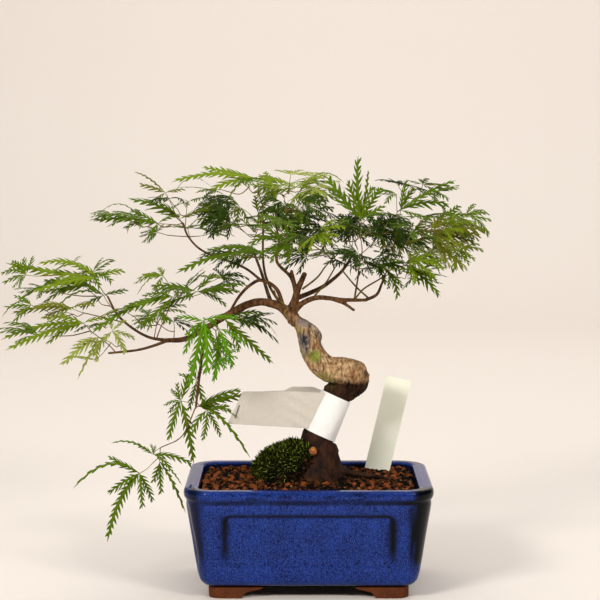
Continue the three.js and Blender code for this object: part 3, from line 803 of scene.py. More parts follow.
# ---------------------------------------------------------------- limbs
# Each station is x, y, z and radius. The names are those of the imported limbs.
TRUNK_LOWER = [
    (5, 0, 80, 31), (6, 0, 92, 26), (7, 1, 101, 20.5), (7.5, 1.5, 111, 16.6), (8.5, 2, 123, 13.6),
    (15.5, 4, 139, 13), (23, 5, 155, 12.3),
    (33, 5, 164.5, 12.2), (38.5, 3, 170, 12.2), (43, 1, 175, 8),
]
TRUNK_UPPER = [
    (46, 2, 168.5, 7), (39, 1, 172, 12.1), (27, -3, 177, 11.3), (16, -4, 178.5, 10.4), (8, -4, 185, 9.8),
    (2.5, -3, 194.5, 9.3), (0, -1, 204, 8.8), (-4, 0, 212, 7), (-9, 0, 217, 5), (-13, 0, 222.5, 4.3),
]
LIMBS = {
    "leader": [
        (-13, 0, 216, 4.4), (-14, 0, 227, 4), (-11, -1, 235, 3.5), (-9, -2, 243, 3),
        (-3, -3, 257, 2.3),
    ],
    "pruned_stub": [(-10, -1, 240, 2.4), (-12, 1, 249, 2.1), (-14, 2, 259, 1.4)],
    "left_bough": [
        (-10, 0, 216, 4.6), (-21, 0, 228, 3.8), (-31, 1, 232, 3.3), (-41, 2, 233, 3.1), (-54, 3, 229, 3),
        (-70, 3, 220, 2.7), (-85, 1, 211, 2.4), (-101, -2, 203, 2.1), (-117, -4, 202, 1.8),
    ],
    "left_low_twig": [
        (-115, -4, 202, 1.4), (-126, -6, 198, 1.2), (-140, -8, 194.5, 1),
        (-163, -8, 192, 0.9),
    ],
    "left_high_twig": [
        (-115, -4, 202, 1.5), (-130, 0, 204, 1.2), (-144, 4, 211, 1.1), (-157, 8, 222, 1),
        (-165, 9, 237, 0.8),
    ],
    "hanging_bough": [
        (-83, 0, 212, 1.5), (-86, -6, 196, 1.4), (-88, -8, 181, 1.2), (-90, -8, 166, 1.1),
        (-92, -7, 148, 0.9),
    ],
    "dark_crown_bough": [
        (-11, 0, 244, 2.1), (-15, 2, 254, 1.9), (-26, 6, 266, 1.7), (-24, 9, 281, 1.5), (-27, 12, 296, 1.2),
    ],
    "straight_crown_bough": [(-21, 1, 229, 1.3), (-32, 5, 246, 1.1), (-37, 6, 265, 1), (-37, 4, 300, 0.8)],
    "arching_bough": [
        (-20, 0, 227, 1.8), (-26, -4, 244, 1.6), (-38, -7, 251.5, 1.4), (-47, -8, 248, 1.3),
        (-56, -8, 239, 1.2),
        (-64, -6, 226, 1),
    ],
    "upper_left_bough": [
        (-38, -7, 251, 1.1), (-54, -10, 263, 1), (-84, -8, 274.5, 0.9), (-97, -6, 286, 0.8),
        (-102, -5, 298, 0.8),
    ],
    "right_bough": [
        (-11, 0, 226, 2.8), (-4, -3, 233, 2.5), (8, -8, 237.5, 2.2), (28, -12, 236, 1.9),
        (47, -14, 236, 1.5),
    ],
    "right_bough_tip": [(46, -14, 236, 1.4), (55, -15, 240.5, 1.2), (59, -15, 249, 1), (62, -15, 256, 0.9)],
    "right_stub": [(20, -10, 236, 1.6), (29, -13, 233, 1.5), (37, -14, 227.5, 1.3)],
    "right_rear_bough": [
        (-10, 1, 236, 2.2), (2, 11, 240, 1.9), (14, 24, 245, 1.6),
        (28, 44, 255, 1.3), (38, 62, 268, 1),
    ],
    "left_rear_bough": [(-30, 2, 231, 1.8), (-34, 20, 240, 1.5), (-40, 42, 256, 1.2), (-48, 62, 274, 0.9)],
}
SURFACE_ROOTS = [
    [
        (16, -2, 93, 7), (28, -7, 94, 3), (38, -6, 92.5, 2.2), (50, -9, 91, 1.7), (60, -6, 89.5, 1.4),
        (70, -8, 85, 1),
    ],
    [(8, -12, 100, 7), (12, -22, 93, 4.4), (18, -32, 89, 2.4), (22, -42, 84, 1.4)],
    [(-6, 8, 99, 8), (-18, 20, 92, 4.6), (-30, 30, 87, 2.6), (-40, 34, 82, 1.5)],
    [(16, 10, 98, 7), (26, 24, 91, 4), (34, 36, 86, 2.4), (40, 42, 81, 1.4)],
]
SCAR_RIM = [
    (-5, -3, 218, 1.1), (0, -4.5, 216, 1.5), (6, -5, 211.5, 1.7), (9.6, -4, 206, 1.5),
    (9.4, -3, 202, 1.2),
]
# Fine wood that fills in between the named limbs.
FINE_TWIGS = {
    "inner_right": [(5, -6, 239, 0.9), (14, -2, 249, 0.7), (22, 2, 262, 0.6)],
    "inner_high": [(-5, -3, 244, 0.9), (7, 2, 253, 0.8), (14, 6, 262, 0.6), (22, 8, 270, 0.6)],
    "crossing_left": [(49, -13, 237, 0.8), (38, -10, 247, 0.7), (27, -8, 260, 0.6)],
    "upright": [(37, -12, 236, 0.8), (40, -10, 254, 0.7), (41, -10, 264, 0.6)],
    "crossing_right": [(37, -12, 236, 0.8), (45, -10, 245, 0.7), (60, -6, 254, 0.6), (66, -4, 262, 0.5)],
    "fork_tendril": [
        (-14, -3, 219, 0.7), (-20, -4, 224, 0.7), (-17, -5, 229, 0.6),
        (-25, -4, 236, 0.5), (-28, -4, 243, 0.5),
    ],
}
# Soft spots on the trunk: x, y, z and reach.
KNEE = (44, 0, 171, 24)
SCAR_SURROUND = (2, -4, 205, 20)
SCAR_HOLLOW = (-3, -10, 199, 9)
SCAR_HIGH, SCAR_LOW = (-5, -10, 202, 9.5), (-5, -10, 195, 8)
ALGAE_MAIN, ALGAE_KNEE = (5, -13, 190, 7.5), (12, -8, 171, 14)
ALGAE_LEFT, ALGAE_HIGH = (-8, -6, 190, 8), (-9, -5, 212, 6)
YOUNG_BARK = (5, -8, 212, 9)
ALGAE_KNEE_TOP = 177  # no algae on top of the knee
TRUNK_BASE = 80.5
TRUNK_STEP = 1.5  # between the trunk's smoothed stations
TRUNK_VOXEL = 0.64
FINEST_REMESHED = 1.15  # limbs that end thinner than this stay clean tubes
LIMB_GIRTH = {"dark_crown_bough": 0.78, "left_bough": 1.05, "right_rear_bough": 0.75}


def smooth_route(stations, step=2.0):
    """A smooth run of stations (x, y, z, radius), about a step apart, through the given ones."""
    s = np.array(stations, float)
    s = np.vstack([2 * s[0] - s[1], s, 2 * s[-1] - s[-2]])
    run = []
    for k in range(1, len(s) - 2):
        a, b, c, d = s[k - 1 : k + 3]
        count = max(1, round(np.linalg.norm(c[:3] - b[:3]) / step))
        for t in np.arange(count) / count:
            bend, twist = 2 * a - 5 * b + 4 * c - d, 3 * b - a - 3 * c + d
            run.append(0.5 * (2 * b + (c - a) * t + bend * t**2 + twist * t**3))
    run.append(s[-2])
    run = np.array(run)
    run[:, 3] = np.maximum(run[:, 3], 0.15)
    return run


def sweep(run, sides):
    """A closed tube along a run of stations, with rounded ends."""
    centres, radii = run[:, :3], run[:, 3]
    tangents = np.gradient(centres, axis=0)
    tangents /= np.maximum(np.linalg.norm(tangents, axis=1, keepdims=True), 1e-9)
    side = unit(np.cross(tangents[0], UP if abs(tangents[0][2]) < 0.9 else np.array([1.0, 0, 0])))
    angles = np.linspace(0, 2 * math.pi, sides, endpoint=False)
    rings = []
    for centre, tangent, radius in zip(centres, tangents, radii):
        side = unit(side - tangent * (side @ tangent))
        other = np.cross(tangent, side)
        rings.append(centre + radius * (np.cos(angles)[:, None] * side + np.sin(angles)[:, None] * other))
    points = np.concatenate(rings)
    triangles = grid_triangles(len(run), sides, closed=True)
    ends = [centres[0] - tangents[0] * radii[0] * 0.5, centres[-1] + tangents[-1] * radii[-1] * 0.5]
    return close_ends(points, triangles, sides, ends)


def join(parts):
    """Several (points, triangles) as one pair of arrays."""
    points, triangles, base = [], [], 0
    for p, t in parts:
        points.append(p)
        triangles.append(t + base)
        base += len(p)
    return np.concatenate(points), np.concatenate(triangles)


def near(points, x, y, z, reach):
    """A soft spot, 1 at a place and fading to 0 at its reach."""
    return smoothstep(reach, reach * 0.35, np.linalg.norm(points - np.array([x, y, z]), axis=1))


BAND_LOW, BAND_HIGH = np.array([8.5, 2.0, 123.5]), np.array([23.0, 5.0, 155.0])
BAND_RADII = (15.0, 13.8)
BAND_ROOM = 1.9  # how far the bark stays inside the band's radius


def band_radius(share):
    return BAND_RADII[0] + (BAND_RADII[1] - BAND_RADII[0]) * share


def tuck_under_band(points):
    """Holds the bark inside the paper band all along the band's length."""
    axis = BAND_HIGH - BAND_LOW
    share = (points - BAND_LOW) @ axis / (axis @ axis)
    away = points - (BAND_LOW + share[:, None] * axis)
    span = np.maximum(np.linalg.norm(away, axis=1), 1e-6)
    limit = band_radius(share) - BAND_ROOM
    covered = (share > -0.04) & (share < 1.04) & (span < 2 * BAND_RADII[0])
    squeeze = np.where(covered, np.minimum(1.0, limit / span), 1.0)
    return points - away * (1 - squeeze)[:, None]


def build_trunk():
    """Trunk and thicker boughs fused into one skin, so that every limb swells out of its parent."""
    lower, upper = smooth_route(TRUNK_LOWER, TRUNK_STEP), smooth_route(TRUNK_UPPER, TRUNK_STEP)
    thick = {n: r for n, r in LIMBS.items() if r[-1][3] >= FINEST_REMESHED}
    thick = {n: [(x, y, z, r * LIMB_GIRTH.get(n, 0.92)) for x, y, z, r in run] for n, run in thick.items()}
    roots = [smooth_route(r) for r in SURFACE_ROOTS]
    runs = [lower, upper, *roots, smooth_route(SCAR_RIM, 1.0)] + [smooth_route(r) for r in thick.values()]
    tubes = [sweep(run, 24 if k < 2 else 14) for k, run in enumerate(runs)]
    points, triangles = join(tubes)
    trunk = triangle_piece("trunk_bark", points, triangles, [])
    remesh = trunk.modifiers.new("fused", "REMESH")
    remesh.mode = "VOXEL"
    remesh.voxel_size = TRUNK_VOXEL * MM
    smooth = trunk.modifiers.new("eased", "SMOOTH")
    smooth.iterations = 3
    applied(trunk)
    mesh = trunk.data
    points, normals = mesh_points(mesh), point_normals(mesh)
    # Each point's own limb radius, and how far up the trunk it lies.
    tree = kdtree.KDTree(sum(len(r) for r in runs))
    stations = np.concatenate(runs)
    owner = np.concatenate([np.full(len(r), k) for k, r in enumerate(runs)])
    up_trunk = [np.arange(len(lower)) * TRUNK_STEP, 88 + np.arange(len(upper)) * TRUNK_STEP]
    travel = np.concatenate(up_trunk + [np.zeros(len(r)) for r in runs[2:]])
    for k, s in enumerate(stations):
        tree.insert(Vector(s[:3]), k)
    tree.balance()
    nearest = np.array([tree.find(Vector(p))[1] for p in points])
    radius, along, limb = stations[nearest, 3], travel[nearest], owner[nearest]
    is_trunk, is_root, is_rim = limb < 2, (limb >= 2) & (limb < 2 + len(roots)), limb == 2 + len(roots)
    size = np.clip(radius / 12.0, 0.12, 1.4)
    coarse = noise_at(points, (0.11, 0.11, 0.07), 3.0)
    furrows = noise_at(points, (0.42, 0.42, 0.13), 11.0)
    fine = noise_at(points, (0.9, 0.9, 0.5), 23.0)
    knee = near(points, *KNEE)
    wrinkle = np.sin(along * 2.3 + 2.6 * noise_at(points, (0.12, 0.12, 0.12), 31.0)) * knee
    root = np.where(is_trunk, smoothstep(171.5, 165.0, points[:, 2] + 3.5 * coarse), is_root * 1.0)
    rugged = np.maximum(root, near(points, *SCAR_SURROUND))
    relief = size * (0.8 * coarse + (0.25 + 0.7 * rugged) * furrows + 0.25 * fine)
    relief += is_trunk * (0.75 * wrinkle - 0.7 * near(points, *SCAR_HOLLOW))
    height = points[:, 2]
    wrapped = is_trunk * smoothstep(112, 118, height) * smoothstep(164, 158, height) * (along < 80)
    relief = relief * (1 - wrapped) + np.minimum(relief, 0.1) * wrapped
    points = points + normals * relief[:, None]
    points[:, 2] = np.maximum(points[:, 2], TRUNK_BASE)
    points = tuck_under_band(points)
    set_mesh_points(mesh, points)
    # Painted shade: the furrows and wrinkle troughs are darkened where shade falls in them.
    furrow_shade = smoothstep(-0.1, -0.45, furrows) * rugged * 0.8
    furrow_shade = np.maximum(furrow_shade, is_trunk * smoothstep(-0.3, -0.9, wrinkle) * 0.75)
    below_knee = points[:, 2] < ALGAE_KNEE_TOP
    algae = near(points, *ALGAE_MAIN) + 0.45 * near(points, *ALGAE_KNEE) * below_knee
    algae += 0.6 * near(points, *ALGAE_LEFT) + 0.5 * near(points, *ALGAE_HIGH)
    scar = np.maximum(near(points, *SCAR_HIGH), near(points, *SCAR_LOW))
    # Dark below the knee and on the surface roots: partly root bark, partly painted shade.
    point_attribute(mesh, "root_bark_and_shade", np.clip(root, 0, 1))
    point_attribute(mesh, "algae", np.clip(is_trunk * algae, 0, 1))
    ragged = is_trunk * scar * smoothstep(-0.5, 0.1, coarse + 0.3)
    callus = 0.8 * is_rim * smoothstep(-7.5, -3.5, -np.abs(points[:, 1] + 4.0) - 3.0)
    point_attribute(mesh, "scar", np.clip(ragged + callus, 0, 1))
    young = np.maximum(smoothstep(5.6, 3.6, radius) * ~is_rim, 0.6 * is_trunk * near(points, *YOUNG_BARK))
    point_attribute(mesh, "young", young * ~is_root)
    point_attribute(mesh, "furrow_shade", furrow_shade)
    mesh.materials.append(bark_material())
    shade_smooth(mesh)
    finish_piece(trunk, "bark", "trunk", *thick)
    thin = {n: r for n, r in LIMBS.items() if n not in thick}
    return thin


# ---------------------------------------------------------------- paper, staple and tag
def ribbon(rows, thickness):
    """A thin closed sheet from rows of points, thickened to its back."""
    rows = np.array(rows)
    r, c = rows.shape[:2]
    du, dv = np.gradient(rows, axis=0), np.gradient(rows, axis=1)
    normals = np.cross(du, dv)
    normals /= np.maximum(np.linalg.norm(normals, axis=2, keepdims=True), 1e-9)
    front = rows.reshape(-1, 3)
    back = (rows + normals * thickness).reshape(-1, 3)
    faces = grid_triangles(r, c)
    n = r * c
    edge = np.concatenate([
        np.arange(c), np.arange(1, r) * c + c - 1,
        (r - 1) * c + np.arange(c - 2, -1, -1), np.arange(r - 2, 0, -1) * c,
    ])
    following = np.roll(edge, -1)
    rim = np.concatenate([
        np.stack([edge, edge + n, following + n], -1), np.stack([edge, following + n, following], -1)
    ])
    triangles = np.concatenate([faces, faces[:, ::-1] + n, rim])
    points = np.concatenate([front, back])
    corners = points[triangles]
    volume = np.einsum("ij,ij->i", corners[:, 0], np.cross(corners[:, 1], corners[:, 2])).sum()
    return points, triangles if volume > 0 else triangles[:, ::-1]


STAPLE_RADIUS = 0.28


def build_paper():
    white = paper_material("white_paper", (250, 247, 242))
    # The tail's plies are the same white paper, painted grey-beige as painted shade.
    shaded = paper_material("paper_in_painted_shade", (208, 198, 184))
    axis = unit(BAND_HIGH - BAND_LOW)
    across = unit(np.cross(axis, [0, 1, 0]))
    deep = np.cross(axis, across)
    rows = []
    start, turns = math.radians(-35), 1.06
    for t in np.linspace(0, 1, 14):
        centre = BAND_LOW + (BAND_HIGH - BAND_LOW) * t
        radius = band_radius(t)
        row = []
        for k in np.linspace(0, 1, 90):
            angle = start + turns * 2 * math.pi * k
            overlap = 0.45 * smoothstep(0.9, 1.0, k)
            crease = 0.22 * math.sin(angle * 3 + t * 1.5) + 0.12 * math.sin(angle * 7 - t * 4)
            reach = radius - 0.9 + crease + overlap
            row.append(centre + reach * (math.cos(angle) * across + math.sin(angle) * deep))
        rows.append(row)
    band = triangle_piece("paper_wrap", *ribbon(rows, 0.28), [white], smooth=True)
    edge_split(band)
    finish_piece(band, "paper", "paper_band")

    plies = []
    for ply, (leaves_at, gap) in enumerate(((42.0, 0.0), (-15.0, 1.0))):
        rows = []
        angle = math.radians(leaves_at)
        for t in np.linspace(0, 1, 34):
            row = []
            for v in np.linspace(0, 1, 16):
                centre = BAND_LOW + (BAND_HIGH - BAND_LOW) * (0.04 + 0.92 * v)
                radius = band_radius(v) - 0.5
                root = centre + radius * (math.cos(angle) * across + math.sin(angle) * deep)
                end = np.array([-66.7 + 12.5 * v, 2.6 + gap, 132.3 + 26.6 * v])
                p = root + (end - root) * t
                raised = smoothstep(-21.0, -13.0, p[0]) * smoothstep(14.0, 2.0, p[0])
                p[2] += v**3 * (3.2 * raised * ply + 0.9 * math.sin(t * 3.1)) - 0.9 * gap * t * v
                pinch = math.exp(-(((p[0] + 8.0) / 12.0) ** 2))
                pleat = 0.45 * pinch * math.sin(0.34 * p[0] + 0.62 * p[2] + ply)
                p[1] += pleat + 0.4 * math.sin(t * 7 + ply) * t
                row.append(p)
            rows.append(row)
        plies.append(ribbon(rows, 0.25))
    tail = triangle_piece("paper_tail_ends", *join(plies), [shaded], smooth=True)
    edge_split(tail)
    finish_piece(tail, "paper", "paper_tail")

    wire, wire_tree, wire_shader = new_material("staple_wire", Metallic=0.9, Roughness=0.35)
    tint = mottle(wire_tree, 500, 1.0, 2.0, 2.0)
    set_base(wire_tree, wire_shader, shade_between(wire_tree, tint, (52, 46, 46), (96, 90, 88)))
    low = np.array([-60.2, 1.6, 137.5])
    high = np.array([-57.0, 1.6, 147.5])
    into = np.array([0.0, 1.6, 0.0])
    route = [low + into, low, (low + high) / 2 - (0, 0.15, 0), high, high + into]
    route = [(*place, STAPLE_RADIUS) for place in route]
    staple = triangle_piece("staple", *sweep(smooth_route(route, 0.5), 8), [wire], smooth=True)
    finish_piece(staple, "paper")


def edge_split(piece, degrees=40):
    """Keeps a thin sheet's rim crisp while its faces stay smooth."""
    split = piece.modifiers.new("crisp", "EDGE_SPLIT")
    split.split_angle = math.radians(degrees)
    return applied(piece)


LABEL_SIZE = (21.0, 80.0, 0.8)
LABEL_LEAN = 0.235  # radians to the right of upright
LABEL_FOOT = np.array([58.0, 45.0, 86.0])


def build_label():
    """A blank plastic name tag with rounded corners, standing in the soil."""
    low, high = box_mm("plant_label")
    width, height, thickness = LABEL_SIZE
    material, tree, shader = new_material("pale_green_tag", Roughness=0.5)
    tone = mottle(tree, 60, 1.0, 2.0, 2.0)
    set_base(tree, shader, shade_between(tree, tone, (246, 244, 220), (252, 250, 232)))
    add_bump(tree, shader, tone.outputs["Height"], 0.1, 0.0005)
    rows = []
    for v in np.linspace(0, 1, 40):
        corner = 0.7
        tuck = max(0.0, corner - (height * (1 - v)))
        half = width / 2 - (corner - math.sqrt(max(corner**2 - tuck**2, 0.0)))
        row = []
        for u in np.linspace(-1, 1, 12):
            p = np.array([u * half, 0.35 * math.cos(u * 1.3), v * height])
            x = p[0] * math.cos(LABEL_LEAN) + p[2] * math.sin(LABEL_LEAN)
            z = -p[0] * math.sin(LABEL_LEAN) + p[2] * math.cos(LABEL_LEAN)
            row.append(LABEL_FOOT + np.array([x, p[1] + 0.06 * z - 0.4, z]))
        rows.append(row)
    tag = triangle_piece("name_tag", *ribbon(rows, thickness), [material], smooth=True)
    edge_split(tag)
    points = np.clip(mesh_points(tag.data), low - (0.2, 0.5, 4.0), high + (0.2, 0.5, 0.2))
    set_mesh_points(tag.data, points)
    finish_piece(tag, "label_plastic", "plant_label")


# ---------------------------------------------------------------- leaves
LEAF_TINTS = {
    # deep is a painted-shade copy of the leaf green, dealt mostly to the inner, under and back masses; the
    # other tints are the leaves' own.
    "deep": (44, 62, 4),
    "mid": (80, 102, 12),
    "fresh": (106, 124, 20),
    "bright": (82, 124, 12),
    "pale": (140, 150, 62),
    "olive": (102, 106, 26),
}
LOBE_SPREAD = np.radians([0, 26, -26, 54, -54, 84, -84, 122, -122])
LOBE_LENGTHS = np.array([1.0, 0.95, 0.93, 0.8, 0.78, 0.56, 0.54, 0.3, 0.28])


def lobe_outline(rng, pairs, tooth, blade=0.013):
    """One cut lobe, flat and one long: a lance-shaped blade on its midrib, edged with forward-pointing teeth.

    Returns its points as (along, across), the triangles, and which triangles are midrib."""
    notches = 0.08 + 0.84 * (np.arange(pairs + 1) / pairs) ** 1.05
    stations = np.concatenate([[0, 0.04], notches, [0.965, 1.0]])
    half = 0.008 + blade * np.sin(np.pi * stations**0.75)
    half[:2], half[-2:] = (0.006, 0.006), (0.005, 0.001)
    rib = np.minimum(0.004 * (1 - stations) + 0.001, half * 0.5)
    points, triangles, is_rib = [], [], []
    for s, h, r in zip(stations, half, rib):
        points += [(s, -h), (s, -r), (s, r), (s, h)]
    for k in range(len(stations) - 1):
        a, b = 4 * k, 4 * k + 4
        for j in range(3):
            triangles += [(a + j, b + j, b + j + 1), (a + j, b + j + 1, a + j + 1)]
            is_rib += [j == 1, j == 1]
    for side in (-1, 1):
        for k in range(pairs):
            back, front = notches[k], notches[k + 1]
            back, front = np.array([back, front]) + 0.22 * (1 + side) * (front - back)
            swell = 0.5 + 0.7 * np.sin(np.pi * ((back + front) / 2) ** 0.7)
            length = tooth * swell * rng.uniform(0.75, 1.25)
            angle = np.radians(rng.uniform(19, 34))
            forward = np.array([np.cos(angle), side * np.sin(angle)])
            outward = np.array([0, side])
            foot_back = np.array([back, side * half[k + 2] * 0.9])
            foot_front = np.array([back + 0.7 * (front - back), side * half[k + 3] * 0.8])
            tip = (foot_back + foot_front) / 2 + forward * length
            outline = [
                foot_back,
                foot_back + (tip - foot_back) * 0.5 + outward * tooth * 0.07,
                tip,
                foot_front + (tip - foot_front) * 0.5 - outward * tooth * 0.02,
                foot_front,
            ]
            base = len(points)
            points += [tuple(p) for p in outline]
            for j in range(3):
                pair = (base + j + 1, base + j + 2)
                triangles.append((base, *pair) if side < 0 else (base, *pair[::-1]))
                is_rib.append(False)
    return np.array(points), np.array(triangles), np.array(is_rib)


OUTLINE_SEEDS = np.random.default_rng(17)
# Longest lobe first: up to this many millimetres, so many pairs of teeth, each so long for its lobe.
LOBE_KINDS = [
    (26.0, [lobe_outline(OUTLINE_SEEDS, 4, 0.24, 0.024) for _ in range(6)]),
    (46.0, [lobe_outline(OUTLINE_SEEDS, 6, 0.18, 0.018) for _ in range(7)]),
    (60.0, [lobe_outline(OUTLINE_SEEDS, 8, 0.12, 0.013) for _ in range(6)]),
    (999.0, [lobe_outline(OUTLINE_SEEDS, 11, 0.085, 0.01) for _ in range(6)]),
]
LOBE_THREADS = [lobe_outline(OUTLINE_SEEDS, 6, 0.055, 0.007) for _ in range(4)]


def bend_lobe(rng, hub, reach, face, droop, breadth=1.0):
    """Lays a flat lobe along a drooping line from the leaf's hub, folded along its midrib."""
    length = np.linalg.norm(reach)
    kinds = next(kinds for limit, kinds in LOBE_KINDS if length < limit)
    if length > 24 and rng.random() < 0.14:
        kinds = LOBE_THREADS
        droop = 2 * droop + 0.3
    flat, triangles, is_rib = kinds[rng.integers(len(kinds))]
    s, across = flat[:, 0], flat[:, 1] * breadth
    sway = unit(np.cross(reach, face)) * rng.uniform(-0.07, 0.07) * length
    bow = (s * (1 - s))[:, None]
    rise = UP * droop * length
    centre = hub + reach * s[:, None] + (rise + sway * 4) * bow
    tangent = reach + (rise + sway * 4) * (1 - 2 * s)[:, None]
    tangent /= np.linalg.norm(tangent, axis=1, keepdims=True)
    side = np.cross(tangent, face)
    side /= np.maximum(np.linalg.norm(side, axis=1, keepdims=True), 1e-6)
    normal = np.cross(side, tangent)
    fold = rng.uniform(0.05, 0.3)
    wide = np.abs(across) * length
    curl = rng.uniform(0.0, 0.5)
    drop = wide * math.sin(fold) + curl * wide**2 / (0.25 * length)
    wave = 0.09 * wide * np.sin(s * 17 + rng.uniform(0, 6))
    place = centre + side * (across * length * math.cos(fold))[:, None] - normal * (drop + wave)[:, None]
    return place, triangles, is_rib


def room_inside(hub, direction, centre, half):
    """How far a lobe may run from its hub before it leaves the mass's rounded block."""
    for length in np.arange(8.0, 100.0, 2.0):
        if (np.abs((hub + direction * length - centre) / half) ** 3).sum() > 1.0:
            return length
    return 100.0


def leaf_face(rng, hub, forward):
    """Which way a leaf's upper side looks: up, and outwards round the crown."""
    outward = np.array([0.35 * (hub[0] + 20) / 100, hub[1] / 60, 0.0])
    if abs(hub[1]) < 30:
        outward[1] = -rng.uniform(0.1, 0.9)
    face = unit(UP * rng.uniform(0.7, 1.2) + outward + rng.uniform(-0.25, 0.25, 3))
    return unit(face - forward * (face @ forward))


def grow_leaf(rng, hub, heading, size, centre, half):
    """One cut leaf: lobes fanned from its hub, drooping at their ends and kept inside the mass."""
    a, e = math.radians(heading), math.radians(rng.uniform(-14, 16))
    forward = np.array([math.cos(a) * math.cos(e), math.sin(a) * math.cos(e), math.sin(e)])
    face = leaf_face(rng, hub, forward)
    side = np.cross(forward, face)
    count = rng.choice([5, 7, 7, 7])
    parts = []
    for k in range(count):
        spread = LOBE_SPREAD[k] + rng.uniform(-0.12, 0.12)
        aim = unit(forward * math.cos(spread) + side * math.sin(spread) - UP * rng.uniform(-0.05, 0.22))
        length = size * LOBE_LENGTHS[k] * rng.uniform(0.82, 1.12)
        length = min(length, max(room_inside(hub, aim, centre, half * 1.08), 0.45 * length))
        parts.append(bend_lobe(rng, hub, aim * length, face, rng.uniform(0.15, 0.5)))
    return parts


def grow_known_leaf(rng, hub, lobes):
    """A leaf on the near side whose lobes each have a known direction, in degrees, and reach."""
    parts = []
    turn = rng.choice([-1.0, 1.0])
    for direction, reach in lobes:
        a = math.radians(direction)
        turn = -turn
        level = abs(math.cos(a))
        deep = turn * rng.uniform(0.05, 0.15 + 0.3 * level)
        face = unit(np.array([rng.uniform(-0.2, 0.2), -0.75, 0.25 + 0.55 * level]))
        aim = np.array([math.cos(a), deep, math.sin(a)]) * reach
        parts.append(bend_lobe(rng, hub, aim, face, rng.uniform(0.1, 0.45) * level, 1.1))
    return parts


def fill_hubs(rng, count, centre, half):
    """Evenly strewn leaf hubs in the heart and upper half of a mass."""
    hubs = []
    for _ in range(count):
        tries = rng.uniform(-1, 1, (14, 3))
        tries = tries[(np.abs(tries) ** 2.5).sum(axis=1) < 1.0]
        spots = centre + half * (tries * (0.68, 0.68, 0.6) + (0, 0, 0.22))
        gaps = [min([np.linalg.norm(spot - h) for h in hubs], default=1.0) for spot in spots]
        hubs.append(spots[int(np.argmax(gaps))])
    return hubs


def branch_out(rng, limb, hubs):
    """Thin wood from a limb to every leaf hub: each shoot leaves the nearest wood already grown."""
    joints = [np.array(s[:3]) for s in limb]
    shoots, stalks = [], []
    for hub in sorted(hubs, key=lambda h: np.linalg.norm(h - joints[-1])):
        spans = [np.linalg.norm(hub - joint) for joint in joints]
        base = joints[int(np.argmin(spans))]
        span = min(spans)
        way = (hub - base) / max(span, 1e-6)
        knuckle = hub - way * min(rng.uniform(8, 15), 0.6 * span) - UP * 1.2
        middle = (base + knuckle) / 2 + rng.uniform(-0.08, 0.08, 3) * span - UP * 0.07 * span
        girth = 0.34 + 0.0045 * span
        shoot = smooth_route([(*base, girth), (*middle, girth * 0.85), (*knuckle, girth * 0.72)], 3.0)
        stalk_bow = (knuckle + hub) / 2 + rng.uniform(-0.8, 0.8, 3)
        stalks.append(smooth_route([(*knuckle, girth * 0.7), (*stalk_bow, 0.3), (*hub, 0.3)], 3.0))
        shoots.append(shoot)
        joints += [np.array(s[:3]) for s in shoot[1:]]
    return shoots, stalks


